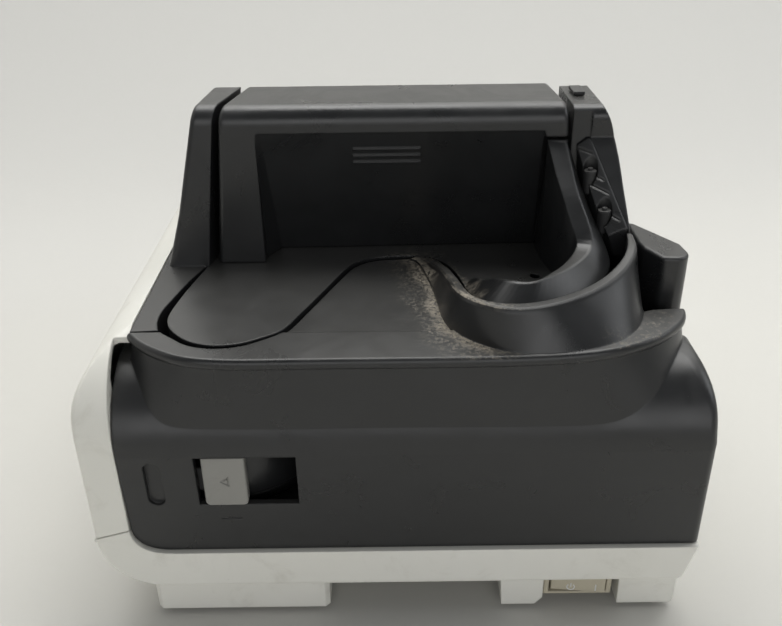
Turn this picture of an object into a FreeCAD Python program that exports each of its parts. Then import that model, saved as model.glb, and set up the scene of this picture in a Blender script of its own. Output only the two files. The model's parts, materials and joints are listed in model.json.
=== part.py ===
import FreeCAD, Part
import os
import math
from FreeCAD import Vector as V

# Cheque scanner: desktop document transport with a hinged front cover, a
# curved vertical track round two lobes, a central printer tower and a paper
# roll bay behind it.
# Working frame of every piece: X to the right, Y from the front face
# backwards, Z up from the table. Each piece's Placement then moves it by
# (shift_x, shift_y) so that the part's origin is the middle of its footprint.

doc = FreeCAD.newDocument("ChequeScanner")
sheet = doc.addObject("Spreadsheet::Sheet", "Dims")

DIMS = [
    ("shift_x", -2.0), ("shift_y", -141.5),
    # main heights
    ("tray_top", 124.0), ("tower_top", 190.0), ("slot_floor", 58.0),
    ("cover_bottom", 36.9), ("crease_level", 83.5), ("shoulder_radius", 30.0),
    ("shoulder_top", 113.5), ("wall_skin", 2.6), ("base_bottom", 18.5), ("base_rim", 44.0),
    ("left_side", -115.5), ("right_side", 116.0), ("rear_face", 281.0),
    # hinge of the front cover
    ("hinge_pos_x", 107.0), ("hinge_pos_y", 45.0), ("hinge_pin_dia", 5.0), ("hinge_pin_len", 63.1),
    # latch
    ("knob_wide", 16.0), ("knob_tall", 22.0), ("knob_deep", 4.2), ("knob_round", 2.0),
    ("bolt_long", 26.0), ("bolt_tall", 10.0), ("bolt_thick", 1.1),
    # switch
    ("bezel_wide", 28.0), ("bezel_tall", 13.0), ("bezel_deep", 16.0),
    ("rocker_wide", 22.0), ("rocker_tall", 9.0), ("rocker_deep", 8.0), ("rocker_round", 0.8),
    # rollers and drive
    ("roller_dia", 17.0), ("roller_tall", 34.0), ("shaft_dia", 5.0), ("pulley_dia", 14.0),
    ("motor_dia", 30.0), ("motor_tall", 38.0), ("pinch_dia", 4.8), ("pinch_tall", 14.0),
    ("guide_roller_dia", 5.0), ("guide_roller_tall", 9.0),
    ("platen_dia", 9.0), ("platen_long", 84.0),
    # plates and boards
    ("plate_wide", 212.0), ("plate_deep", 226.0), ("plate_thick", 1.6),
    ("floor_thick", 4.0), ("board_wide", 180.0), ("board_deep", 100.0), ("board_thick", 1.6),
    ("sensor_wide", 8.0), ("sensor_deep", 13.0), ("sensor_tall", 52.0),
    ("head_wide", 7.0), ("head_deep", 8.0), ("head_tall", 14.0),
    ("cartridge_wide", 40.0), ("cartridge_deep", 9.0), ("cartridge_tall", 34.0),
    ("thermal_wide", 84.0), ("thermal_deep", 5.0), ("thermal_tall", 14.0),
    ("blade_wide", 82.0), ("blade_deep", 3.0), ("blade_thick", 1.0),
    ("inlet_wide", 28.0), ("inlet_tall", 19.0), ("inlet_deep", 18.0),
    ("data_wide", 13.0), ("data_tall", 12.0), ("data_deep", 16.0),
    ("drawer_wide", 13.0), ("drawer_tall", 12.0), ("drawer_deep", 16.0),
    ("pad_dia", 13.0), ("pad_thick", 2.4),
    ("screw_dia", 3.0), ("screw_head_dia", 6.0), ("screw_long", 9.0), ("screw_head_tall", 2.0),
    ("lid_half", 52.5), ("lid_pin_dia", 4.0), ("lid_pin_len", 111.0),
    ("pusher_thick", 2.0), ("pusher_long", 76.0), ("pusher_tall", 56.0),
    ("lever_wide", 4.4), ("lever_deep", 11.0), ("lever_tall", 4.0),
    ("spring_tall", 5.0), ("spring_thick", 0.5), ("spring_deep", 2.4), ("spring_pitch", 4.0), ("keeper_wide", 5.6),
]
for row, (alias, value) in enumerate(DIMS, start=1):
    sheet.set("A%d" % row, alias)
    sheet.set("B%d" % row, repr(value))
    sheet.setAlias("B%d" % row, alias)
doc.recompute()


def P(alias):
    return float(sheet.get(alias))


NODES = []


def place(obj, label):
    """Gives a finished piece its label and moves it into the part's frame."""
    obj.Label = label
    base = obj.Placement.Base
    obj.setExpression("Placement.Base.x", "%r + Dims.shift_x" % base.x)
    obj.setExpression("Placement.Base.y", "%r + Dims.shift_y" % base.y)
    NODES.append(obj)
    return obj


def feature(label, shape):
    obj = doc.addObject("Part::Feature", "F_" + label)
    obj.Shape = shape
    obj.Placement = shape.Placement
    return place(obj, label)


# ---------------------------------------------------------------- shape tools
def box(x0, x1, y0, y1, z0, z1):
    return Part.makeBox(x1 - x0, y1 - y0, z1 - z0, V(x0, y0, z0))


def cyl(x, y, z0, z1, dia):
    return Part.makeCylinder(dia / 2.0, z1 - z0, V(x, y, z0))


def curve(points, z=0.0):
    c = Part.BSplineCurve()
    c.interpolate([V(p[0], p[1], z) for p in points])
    return c.toShape()


def lines(points, z=0.0):
    return [Part.LineSegment(V(a[0], a[1], z), V(b[0], b[1], z)).toShape() for a, b in zip(points, points[1:])]


def prism(edges, z0, z1):
    wire = Part.Wire(Part.__sortEdges__(edges))
    wire.translate(V(0, 0, z0))
    return Part.Face(wire).extrude(V(0, 0, z1 - z0))


def prism_xy(points, z0, z1):
    return prism(lines(points + [points[0]]), z0, z1)


def prism_yz(points, x0, x1):
    pts = [V(x0, p[0], p[1]) for p in points]
    return Part.Face(Part.makePolygon(pts + [pts[0]])).extrude(V(x1 - x0, 0, 0))


def prism_xz(points, y0, y1):
    pts = [V(p[0], y0, p[1]) for p in points]
    return Part.Face(Part.makePolygon(pts + [pts[0]])).extrude(V(0, y1 - y0, 0))


def loft(wires, ruled=True):
    return Part.makeLoft(wires, True, ruled)


def polywire(points):
    pts = [V(*p) for p in points]
    return Part.makePolygon(pts + [pts[0]])


def offset_points(points, gaps, side):
    """Points moved sideways by their gap: side +1 is left of the way along the row."""
    out = []
    for i, p in enumerate(points):
        a = points[max(i - 1, 0)]
        b = points[min(i + 1, len(points) - 1)]
        dx, dy = b[0] - a[0], b[1] - a[1]
        size = math.hypot(dx, dy)
        out.append((p[0] - side * dy / size * gaps[i], p[1] + side * dx / size * gaps[i]))
    return out


def try_fillet(shape, radius, pick):
    """Rounds the picked edges, one by one where they can't be rounded together."""
    edges = [e for e in shape.Edges if pick(e)]
    if not edges:
        return shape
    try:
        out = shape.makeFillet(radius, edges)
        if out.isValid() and out.Solids:
            return out
    except Exception:
        pass
    for r in (radius * 0.6, radius * 0.3):
        try:
            out = shape.makeFillet(r, edges)
            if out.isValid() and out.Solids:
                return out
        except Exception:
            pass
    print("not rounded", radius, len(edges))
    return shape


def mid(e):
    return e.valueAt((e.FirstParameter + e.LastParameter) / 2.0)


def near(e, axis, value, tol=0.2):
    """True where the whole edge lies at one value of x, y or z."""
    i = "xyz".index(axis)
    b = e.BoundBox
    lo, hi = (b.XMin, b.YMin, b.ZMin)[i], (b.XMax, b.YMax, b.ZMax)[i]
    return abs(lo - value) < tol and abs(hi - value) < tol


# ------------------------------------------------------------ the track's plan
Z_TOP = P("tray_top")
Z_SLOT = P("slot_floor")
Z_TOWER = P("tower_top")

# edge of the island along the slot, from the back left round both lobes
ISLAND_EDGE = [
    (-69.4, 112.0), (-72.9, 95.0), (-76.4, 76.5), (-78.6, 65.9), (-81.0, 53.2), (-82.7, 42.1), (-83.4, 34.7),
    (-83.1, 30.0), (-81.2, 24.5), (-77.4, 19.2), (-72.5, 14.7), (-66.9, 12.1), (-59.6, 11.4), (-52.6, 13.0),
    (-45.9, 16.9), (-40.5, 21.2), (-37.3, 26.4), (-34.2, 33.8), (-29.6, 44.8), (-24.8, 57.0), (-20.4, 68.0),
    (-16.5, 76.2), (-11.0, 81.8), (-2.5, 84.6), (4.2, 85.2), (10.5, 85.0), (16.0, 83.4), (20.6, 79.8),
    (23.9, 75.0), (26.3, 69.3), (28.3, 61.5), (29.6, 53.6), (30.5, 45.0), (31.0, 36.0), (31.9, 28.5),
    (34.4, 21.8), (38.8, 17.4), (44.7, 15.9), (51.2, 17.0), (58.2, 20.2), (65.4, 24.6), (72.2, 30.2),
    (78.0, 36.6), (82.2, 43.3), (84.5, 49.8), (83.6, 55.8), (80.6, 62.2), (76.4, 71.0), (72.0, 81.0),
    (70.6, 95.0), (70.3, 112.0)]
# edge of the front cover along the slot, from the left seam to the bowl wall's end
N0, N1 = 8, 24
_gap = [3.0, 2.8, 2.6, 2.4, 2.3, 2.1, 1.9, 1.7, 1.6, 1.5, 1.4, 1.4, 1.4, 1.5, 1.7, 1.8, 1.9]
COVER_LEFT = offset_points(ISLAND_EDGE, [0.0] * N0 + _gap + [0.0] * (len(ISLAND_EDGE) - N0 - 17), -1)[N0:N1 + 1]
# the bowl wall: foot outside, rim inside and rim height, station by station
BOWL = [
    ((8.6, 82.0), (12.4, 83.6), 124.5), ((12.0, 77.5), (17.6, 80.2), 124.9), ((13.9, 70.0), (21.0, 72.0), 126.3),
    ((15.4, 62.8), (23.0, 62.5), 128.6), ((16.8, 53.9), (24.3, 52.8), 131.0), ((17.7, 45.4), (25.2, 44.3), 133.0),
    ((18.4, 38.1), (25.8, 36.8), 135.0), ((19.3, 30.3), (26.3, 29.2), 136.9), ((20.9, 24.2), (27.3, 22.8), 138.2),
    ((24.5, 16.7), (29.8, 16.9), 138.9), ((31.5, 9.6), (34.6, 13.2), 139.1), ((40.5, 4.5), (41.6, 11.3), 139.2),
    ((51.0, 2.6), (50.4, 12.2), 139.2), ((62.0, 3.4), (59.4, 15.8), 139.3), ((73.0, 6.6), (68.0, 20.6), 139.8),
    ((83.0, 12.6), (76.0, 26.4), 140.9), ((90.0, 21.0), (82.4, 32.8), 142.6), ((94.0, 31.0), (87.2, 40.2), 144.3),
    ((95.2, 42.0), (90.0, 48.2), 145.2), ((95.5, 56.0), (91.4, 56.0), 145.5)]
COVER_RIGHT = [s[1] for s in BOWL]
SLOT_OUTER = [(-85.9, 23.4)] + COVER_LEFT + COVER_RIGHT
SLOT_OUTER[1] = (-83.9, 21.4)
SLOT_OUTER[0] = (-85.3, 24.6)


# ------------------------------------------------------------------ front cover
# lower block: flat face that looks slightly down, crease, and a broad shoulder
S_R = P("shoulder_radius")
S_TOP = P("shoulder_top")
Z_CREASE = P("crease_level")
Z_COVER = P("cover_bottom")


def plan_ring(z, front, left, right, back, radius):
    """Rounded plan outline of the lower block at one height."""
    r = radius
    k = r * (1 - math.sqrt(0.5))
    a, b = V(left, front, z), V(right - r, front, z)
    m, c = V(right - k, front + k, z), V(right, front + r, z)
    d, e = V(right, back, z), V(left, back, z)
    return Part.Wire([Part.LineSegment(a, b).toShape(), Part.Arc(b, m, c).toShape(),
                      Part.LineSegment(c, d).toShape(), Part.LineSegment(d, e).toShape(),
                      Part.LineSegment(e, a).toShape()])


BACK = 38.0
lower = loft([plan_ring(Z_COVER, 2.3, -101.0, 119.7, BACK, 3.2), plan_ring(Z_CREASE, 0.0, -101.0, 118.4, BACK, 3.2)])
rings = []
steps = 9
for i in range(steps + 1):
    a = math.radians(90.0 * i / steps) * 0.985
    z = Z_CREASE + S_R * math.sin(a)
    front = S_R * (1 - math.cos(a))
    # the shoulder at the right end is tighter, and starts higher
    t = max(0.0, (z - 95.0) / (S_TOP - 95.0))
    side = 118.4 - 0.9 * (z - Z_CREASE) / S_R - 8.5 * (1 - math.sqrt(max(0.0, 1 - t * t)))
    corner = 3.2 + 2.4 * (i / steps)
    rings.append(plan_ring(z, front, -101.0, side, BACK, corner))
shoulder = loft(rings, False)
block = lower.fuse(shoulder)
# the lower left corner is rounded
CORNER = [(-101.0, 47.4), (-100.0, 43.6), (-97.6, 40.3), (-94.4, 38.3), (-90.6, 37.2), (-86.0, 36.9)]


def corner_block(points, low, left, y0, y1):
    """Everything outside a rounded corner, drawn out from y0 to y1."""
    c = Part.BSplineCurve()
    c.interpolate([V(x, y0, z) for x, z in points])
    rest = [points[-1], (points[-1][0], low), (left, low), (left, points[0][1]), points[0]]
    ring = [c.toShape()] + [Part.LineSegment(V(a[0], y0, a[1]), V(b[0], y0, b[1])).toShape() for a, b in zip(rest, rest[1:]) if a != b]
    return Part.Face(Part.Wire(ring)).extrude(V(0, y1 - y0, 0))


block = block.cut(corner_block(CORNER, 30.0, -103.0, -5.0, 60.0))

# tray block: a wall that flares out to its foot at both ends, with a rounded rim on top
TRAY_EDGE = [(-95.5, 21.9), (-92.2, 17.4), (-87.8, 13.0), (-83.0, 9.5), (-75.4, 5.1), (-66.0, 2.4), (-56.0, 1.3), (-40.0, 1.1),
             (0.0, 1.1), (34.0, 1.2), (50.0, 1.7), (64.0, 3.0), (79.0, 6.4), (88.0, 10.2), (95.4, 14.6), (102.8, 21.4), (108.2, 28.6), (110.0, 34.6)]
TRAY_FOOT = [(-101.0, 26.0), (-100.4, 19.6), (-97.8, 12.8), (-94.2, 7.9), (-88.6, 4.2), (-80.0, 2.4), (-68.0, 2.1), (-48.0, 2.0),
             (0.0, 2.0), (38.0, 1.9), (60.0, 1.8), (76.0, 1.9), (90.0, 3.2), (98.0, 5.6), (104.0, 9.6), (109.6, 16.2), (112.8, 25.0), (113.6, 34.6)]


def edge_out(points, d):
    """The front edge moved outwards, that is to the front and the ends, by d."""
    out = []
    for i, (x, y) in enumerate(points):
        a_, b_ = points[max(0, i - 1)], points[min(len(points) - 1, i + 1)]
        tx, ty = b_[0] - a_[0], b_[1] - a_[1]
        n = math.hypot(tx, ty)
        out.append((x + d * ty / n, y - d * tx / n))
    return out


def tray_ring(points, z):
    c = Part.BSplineCurve()
    c.interpolate([V(x, y, z) for x, y in points])
    rest = [points[-1], (98.0, 33.4), (80.0, 26.0), (40.0, 20.0), (-40.0, 20.0), (-76.0, 23.4), points[0]]
    return Part.Wire([c.toShape()] + [Part.LineSegment(V(a_[0], a_[1], z), V(b_[0], b_[1], z)).toShape() for a_, b_ in zip(rest, rest[1:])])


wall_top = edge_out(TRAY_EDGE, -0.35)
low = [(t[0] + (f[0] - t[0]) * 1.22, t[1] + (f[1] - t[1]) * 1.22) for t, f in zip(wall_top, TRAY_FOOT)]
flare = loft([tray_ring(low, 88.2), tray_ring(wall_top, 120.6)], False)
under = edge_out(TRAY_EDGE, -2.6)
tray = prism([curve(under)] + lines([under[-1], (96.1, 34.9), (96.1, 56.0), (30.0, 92.0), (-40.0, 92.0), (-71.0, 26.3), under[0]]), 60.0, 122.9)
rim = loft([tray_ring(edge_out(TRAY_EDGE, d), z) for d, z in
            ((-0.4, 119.9), (0.5, 120.2), (0.85, 120.8), (0.95, 121.6), (0.9, 122.4), (0.6, 123.2), (0.1, 123.75), (-0.5, Z_TOP))], False)
tray = tray.fuse(flare).fuse(rim)
tray = tray.cut(box(-125.0, -70.0, 21.2, 60.0, 50.0, 130.0)).cut(box(95.3, 125.0, 34.2, 60.0, 50.0, 130.0))
outer = block.fuse(tray)

# bowl wall, leaning in from its foot to its rim
sections = []
for foot, rim, top in BOWL:
    dx, dy = foot[0] - rim[0], foot[1] - rim[1]
    size = math.hypot(dx, dy)
    ux, uy = dx / size, dy / size
    wide = min(4.2, size * 0.62)
    drop = min(1.0, (top - 124.0) * 0.4 + 0.05)

    def at(d, z, rim=rim, ux=ux, uy=uy):
        return (rim[0] + ux * d, rim[1] + uy * d, z)
    sections.append(polywire([
        at(-3.0, 121.6), at(size + 0.02, 121.6), at(size, 124.0), at(wide + 0.2, top - 1.6 * drop),
        at(wide - 0.35, top - 0.55 * drop), at(wide - 1.25, top), at(-3.0, top)]))
bowl = loft(sections, False)
outer = outer.fuse(bowl)

# everything behind the slot's outer edge is left open from the slot's floor up
behind = prism([curve(SLOT_OUTER)] + lines([SLOT_OUTER[-1], (91.4, 130.0), (-120.0, 130.0), (-120.0, 60.0), (-96.4, 60.0), (-96.4, 24.6), (-85.3, 24.6)]), Z_SLOT, 220.0)
outer = outer.cut(behind)
outer = outer.cut(box(90.0, 98.0, 56.0, 62.0, 40, 220)).cut(box(-96.4, -80.0, 21.2, 60, 40, 220)).cut(box(-98.0, -85.0, 21.2, 60, 30, 108))

# inside of the shell
skin = P("wall_skin")
inner_line = offset_points(SLOT_OUTER, [2.4] * len(SLOT_OUTER), -1)[:-2]
inner_line[0] = (-87.8, 26.0)
upper_room = prism([curve(inner_line)] + lines([inner_line[-1], (94.0, 33.5), (104.0, 31.8)] + edge_out(TRAY_EDGE, -3.4)[1:-2][::-1] + [(-91.9, 26.0), (-87.8, 26.0)]), 81.0, 121.4)
lower_room = box(-98.4, 113.0, 3.8 + 1.6, 60, 30, 58.2).fuse(box(-98.4, 113.0, 3.6, 60, 46, 82))
lower_room = lower_room.cut(prism([curve(SLOT_OUTER)] + lines([SLOT_OUTER[-1], (95.4, 56.0), (95.4, 34.4), inner_line[-1]]) + [curve(inner_line[::-1])] + lines([inner_line[0], SLOT_OUTER[0]]), 60.0, 90.0))
lower_room = lower_room.cut(box(90, 121, 33, 60, 20, 90))
outer = outer.cut(upper_room).cut(lower_room)
# left end: only the front 8 mm reach down past the shoulder
outer = outer.cut(box(-102, -96.4, 8.0, 60, 30, 88.0))
# right end: room for the hinge and the side panel's front edge
HX, HY = P("hinge_pos_x"), P("hinge_pos_y")
outer = outer.cut(prism_xy([(95.6, 34.6), (113.2, 34.6), (113.2, 60), (95.6, 60)], 20, 111.0))
outer = outer.cut(cyl(HX, HY, 20, 123.0, 2 * 12.35)).cut(box(90.0, 108.0, 34.4, 60, 20, 119.0).cut(box(90, 95.4, 34, 60, 60, 119)))
# hinge arms with eyes for the pin
for z0 in (52.0, 96.0):
    arm = box(95.7, 100.4, 30.0, 49.0, z0, z0 + 8).fuse(box(95.7, HX, 41.2, 48.8, z0, z0 + 8)).fuse(cyl(HX, HY, z0, z0 + 8, 9.6))
    outer = outer.fuse(arm)
outer = outer.fuse(box(95.6, 99.0, 19.0, 38.5, 52.0, 108.5).cut(box(90, 120, 38.4, 60, 0, 200)))
outer = outer.cut(cyl(HX, HY, 40, 120, P("hinge_pin_dia") + 0.06))
# window of the latch knob, with a shallow dark box behind it
outer = outer.cut(box(-73.0, -35.5, -3.0, 6.0, 60.3, 83.0))
frame_box = box(-74.4, -34.1, 2.0, 3.9, 58.9, 84.4).cut(box(-73.0, -35.5, 0, 8, 60.3, 83.0))
outer = outer.fuse(frame_box)
# shallow pill recess at the left, and a short engraved line under the window
pill = box(-92.0, -85.6, -2.0, 2.7, 63.5, 77.5).fuse(Part.makeCylinder(3.2, 4.7, V(-88.8, -2.0, 63.5), V(0, 1, 0))).fuse(Part.makeCylinder(3.2, 4.7, V(-88.8, -2.0, 77.5), V(0, 1, 0)))
outer = outer.cut(pill)
outer = outer.cut(box(-65.4, -57.8, -1.0, 2.1, 52.8, 53.4))
# windows for the two pinch rollers in the track wall
outer = outer.cut(box(-63.6, -56.4, 4.9, 14.0, 66.0, 88.0)).cut(box(43.8, 51.0, 7.6, 16.0, 69.0, 93.0))
front_cover = outer
fc = max(front_cover.Solids, key=lambda s: s.Volume)
feature("front_cover", fc)

# ------------------------------------------------------------------ track island
closing = lines([ISLAND_EDGE[-1], ISLAND_EDGE[0]])
island_prism = prism([curve(ISLAND_EDGE)] + closing, Z_SLOT + 0.4, 260.0)
# ridge: outer slope, top band and inner wall, from the lobe's left side to the tower
RIDGE = [
    # outer foot (x, y), its height, slope top (x, y), its height, band inner edge (x, y), height, inner foot (x, y)
    ((28.4, 67.0), 119.0, (31.6, 67.4), 120.0, (32.6, 67.5), 120.0, (36.0, 67.8)),
    ((29.4, 58.0), 123.0, (33.6, 58.6), 126.0, (34.6, 58.8), 125.9, (38.6, 59.4)),
    ((30.4, 47.0), 125.4, (36.0, 48.2), 130.2, (36.9, 48.4), 130.1, (41.4, 49.6)),
    ((30.9, 37.5), 127.4, (38.0, 39.6), 134.8, (38.9, 40.0), 134.7, (44.4, 42.0)),
    ((32.0, 28.4), 129.0, (40.6, 31.6), 138.2, (41.5, 32.2), 138.1, (47.2, 36.0)),
    ((35.4, 20.8), 130.0, (44.2, 27.0), 139.8, (45.2, 28.0), 139.7, (50.2, 32.6)),
    ((40.6, 16.6), 130.4, (48.0, 25.0), 140.2, (48.9, 26.2), 140.1, (53.0, 31.4)),
    ((47.4, 16.1), 130.6, (52.6, 25.8), 140.4, (53.6, 27.4), 140.3, (56.4, 32.8)),
    ((56.4, 19.2), 131.0, (59.4, 29.4), 140.4, (58.9, 32.6), 140.4, (59.9, 38.2)),
    ((65.4, 24.6), 131.8, (65.8, 34.6), 140.5, (64.0, 38.4), 140.5, (63.0, 43.8)),
    ((74.2, 32.2), 133.0, (71.8, 41.4), 140.8, (68.4, 45.2), 140.8, (65.4, 49.8)),
    ((81.0, 41.0), 134.6, (76.4, 48.4), 141.8, (71.2, 50.8), 141.8, (66.9, 54.0)),
    ((84.4, 49.4), 136.4, (77.8, 53.2), 144.4, (71.8, 54.0), 144.2, (67.4, 56.4)),
    ((82.4, 58.6), 143.4, (76.4, 58.4), 150.4, (69.8, 58.4), 150.2, (67.4, 58.6)),
    ((78.7, 66.5), 151.6, (73.6, 64.6), 158.4, (67.4, 62.8), 157.8, (66.6, 63.0)),
    ((75.3, 73.6), 160.8, (71.8, 72.2), 166.4, (64.9, 69.4), 165.4, (65.2, 69.8)),
    ((72.5, 80.0), 170.0, (69.8, 79.7), 176.0, (62.4, 79.4), 176.2, (63.4, 79.5))]


def smooth_rows(rows, n):
    """Rows of numbers with n smooth steps from each to the next."""
    out = []
    for i in range(len(rows) - 1):
        p0, p1, p2, p3 = rows[max(i - 1, 0)], rows[i], rows[i + 1], rows[min(i + 2, len(rows) - 1)]
        for k in range(n):
            t = k / float(n)
            out.append([0.5 * (2 * b + (c - a) * t + (2 * a - 5 * b + 4 * c - d) * t * t + (3 * b - a - 3 * c + d) * t ** 3)
                        for a, b, c, d in zip(p0, p1, p2, p3)])
    return out + [list(rows[-1])]


ridge_rows = smooth_rows([(g[0], g[1], zg, c1[0], c1[1], z1, c2[0], c2[1], z2, ft[0], ft[1]) for g, zg, c1, z1, c2, z2, ft in RIDGE], 3)
r_sections = []
for row in ridge_rows:
    g, zg, c1, z1, c2, z2, ft = row[0:2], row[2], row[3:5], row[5], row[6:8], row[8], row[9:11]
    # every section stands in one upright plane, and its foot runs out past the
    # island's edge, to be trimmed to it afterwards
    lx, ly = c2[0] + ft[0] - 2 * g[0], c2[1] + ft[1] - 2 * g[1]
    size = math.hypot(lx, ly)
    lx, ly = lx / size, ly / size
    d1 = (c1[0] - g[0]) * lx + (c1[1] - g[1]) * ly
    d2 = (c2[0] - g[0]) * lx + (c2[1] - g[1]) * ly
    df = (ft[0] - g[0]) * lx + (ft[1] - g[1]) * ly
    slope = (z1 - zg) / d1
    d2 = max(d2, d1 + 0.9)

    def on(d, z, g=g, lx=lx, ly=ly):
        return (g[0] + lx * d, g[1] + ly * d, z)
    r_sections.append(polywire([on(-2.5, 117.0), on(-2.5, zg - 2.5 * slope), on(d1 - 0.4, z1 - 0.4 * slope),
                                on(d1 + 0.4, z1), on(d2, z2), on(df, 119.4), on(df, 117.0)]))
ridge = loft(r_sections, True)
# the ridge's end runs in under the tower's front
tail = loft([polywire([(63.4, 78.9, 117.0), (72.6, 78.9, 117.0), (72.4, 81.0, 117.0), (71.2, 92.6, 117.0), (62.9, 94.4, 117.0)]),
             polywire([(62.6, 78.9, 175.6), (69.6, 78.9, 175.6), (70.8, 80.0, 175.6), (70.4, 80.9, 175.6), (62.8, 80.6, 175.6)])], True)
ridge = ridge.fuse(tail)
island = box(-120, 120, 0, 130, Z_SLOT, Z_TOP).fuse(ridge).common(island_prism)
# hollow underneath, with the drive rollers' room and their windows
room_line = offset_points(ISLAND_EDGE, [2.4] * len(ISLAND_EDGE), 1)
room_line[0] = (room_line[0][0], 109.5)
room_line[-1] = (room_line[-1][0], 109.5)
room = prism([curve(room_line)] + lines([room_line[-1], room_line[0]]), Z_SLOT - 1, 121.2)
island = island.cut(room)
ROLLERS = [(-71.2, 62.0), (-60.0, 19.4), (47.5, 22.8), (72.6, 62.2)]
for x, y in ROLLERS:
    island = island.cut(cyl(x, y, 60.0, 110.0, P("roller_dia") + 2.4))
# room for the motor at the back, which stands half under the rear housing
island = island.cut(box(-17.5, 17.5, 105.0, 114.0, 57.0, 100.0)).cut(box(-20.8, 20.8, 95.0, 114.0, 57.0, 60.8))
# small screw well in the floor near the ridge
island = island.cut(cyl(58.6, 63.5, 121.0, 130.0, 4.2))
island = max(island.Solids, key=lambda s: s.Volume)
feature("track_island", island)

# ------------------------------------------------------------------- main tower
tower = loft([polywire([(-72.9, 79.6, Z_TOP + 0.3), (74.0, 79.6, Z_TOP + 0.3), (72.6, 112.0, Z_TOP + 0.3), (-66.0, 112.0, Z_TOP + 0.3)]),
              polywire([(-66.2, 77.6, Z_TOWER), (69.9, 77.6, Z_TOWER), (67.4, 112.0, Z_TOWER), (-59.6, 112.0, Z_TOWER)])])
tower = try_fillet(tower, 7.0, lambda e: near(e, "z", Z_TOWER) and mid(e).y < 80)
tower = try_fillet(tower, 2.2, lambda e: mid(e).z > Z_TOP + 2 and (abs(mid(e).x + 69) < 6 or abs(mid(e).x - 71) < 6) and mid(e).y < 100)
# inclined recess in the front: flush near the top, deepest at its foot
recess = Part.makeLoft([
    polywire([(-47.0, 94.8, Z_TOP - 1), (64.2, 97.0, Z_TOP - 1), (80.0, 97.0, Z_TOP - 1), (80.0, 70.0, Z_TOP - 1), (-53.2, 70.0, Z_TOP - 1), (-52.2, 85.6, Z_TOP - 1)]),
    polywire([(-50.6, 78.6, 179.8), (60.0, 78.6, 179.8), (61.0, 78.4, 179.8), (61.0, 70.0, 179.8), (-52.4, 70.0, 179.8), (-52.4, 77.8, 179.8)])], True, True)
tower = tower.cut(recess)
# clear of the ridge, which stands in front of the tower's right part
tower = tower.cut(prism_xy([(59.9, 70.0), (80.0, 70.0), (80.0, 94.0), (62.6, 95.2)], Z_TOP - 1, 177.4).cut(
    prism_xz([(50, 160), (59.9, 177.4), (50, 177.4)], 60, 100)))
# three raised ribs, as a grip, on the recess panel
for z in (172.6, 169.6, 166.6):
    y = 78.6 + (179.8 - z) * (94.8 - 78.6) / 56.8 + 0.05
    rib = Part.makeCylinder(0.55, 27.0, V(-14.4, y, z), V(1, 0, 0))
    tower = tower.fuse(rib)
# hollow inside
tower_room = loft([polywire([(-66.0, 99.6, Z_TOP - 2), (58.0, 99.6, Z_TOP - 2), (58.0, 109.4, Z_TOP - 2), (-62.6, 109.4, Z_TOP - 2)]),
                   polywire([(-61.0, 83.0, 186.6), (56.0, 83.0, 186.6), (56.0, 109.4, 186.6), (-58.6, 109.4, 186.6)])])
tower = tower.cut(tower_room)
tower = max(tower.Solids, key=lambda s: s.Volume)
feature("tower_housing", tower)

# -------------------------------------------------------------------- left tower
LT_OUT = [(-77.3, 76.8), (-80.4, 66.7), (-83.1, 55.9), (-85.4, 44.9), (-86.9, 36.0), (-86.6, 29.0), (-84.9, 22.6)]
left = loft([polywire([(-93.4, 76.4, Z_TOP - 1), (-75.9, 76.4, Z_TOP - 1), (-69.6, 112.0, Z_TOP - 1), (-91.6, 112.0, Z_TOP - 1)]),
             polywire([(-86.6, 77.6, 146.0), (-73.4, 77.6, 146.0), (-67.0, 112.0, 146.0), (-84.8, 112.0, 146.0)]),
             polywire([(-76.4, 79.4, Z_TOWER), (-68.1, 79.4, Z_TOWER), (-61.6, 112.0, Z_TOWER), (-73.6, 112.0, Z_TOWER)])])
left = try_fillet(left, 7.0, lambda e: near(e, "z", Z_TOWER) and mid(e).y < 82)
left = try_fillet(left, 2.4, lambda e: mid(e).z > Z_TOP and mid(e).x < -72 and mid(e).y < 100 and e.BoundBox.ZLength > 20 and mid(e).x < -77)
strip = prism([curve([(-70.8, 112.0), (-74.0, 95.0)] + LT_OUT)] + lines([LT_OUT[-1], (-95.0, 21.9), (-95.0, 112.0), (-70.8, 112.0)]), Z_SLOT + 0.4, Z_TOP)
left = strip.fuse(left.cut(island))
left = left.cut(box(-92.4, -88.6, 24.5, 109.0, Z_SLOT - 1, 121.4))
left = max(left.Solids, key=lambda s: s.Volume)
feature("left_tower", left)

# -------------------------------------------------------- right tower and guide
# leaning outer plane through three points of the silhouette
P1, P2, P3 = V(83.2, 78, 190), V(81.2, 112, 190), V(96.6, 55, 146)
nrm = (P2 - P1).cross(P3 - P1)
nrm.normalize()
if nrm.x < 0:
    nrm = nrm * -1


def half_space(point, normal, size=400.0):
    plane = Part.Plane(point, normal)
    rot = FreeCAD.Rotation(V(0, 0, 1), normal)
    b = Part.makeBox(size, size, size, V(-size / 2, -size / 2, 0))
    b.Placement = FreeCAD.Placement(point, rot)
    return b


def guide_inner(y):
    """Plan line of the guide head's inner edge."""
    row = [(84.6, 57.1), (80.8, 63.2), (77.0, 72.0), (74.2, 79.4)]
    for (x0, y0), (x1, y1) in zip(row, row[1:]):
        if y <= y1 or y1 == row[-1][1]:
            return x0 + (x1 - x0) * (y - y0) / (y1 - y0)


def guide_outer(y):
    return 79.4 + (79.2 - y) * 0.570


def slope(y):
    """Height of the right tower's inclined front."""
    return 146.6 + (y - 56.9) * (176.6 - 146.6) / (79.6 - 56.9)


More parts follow.
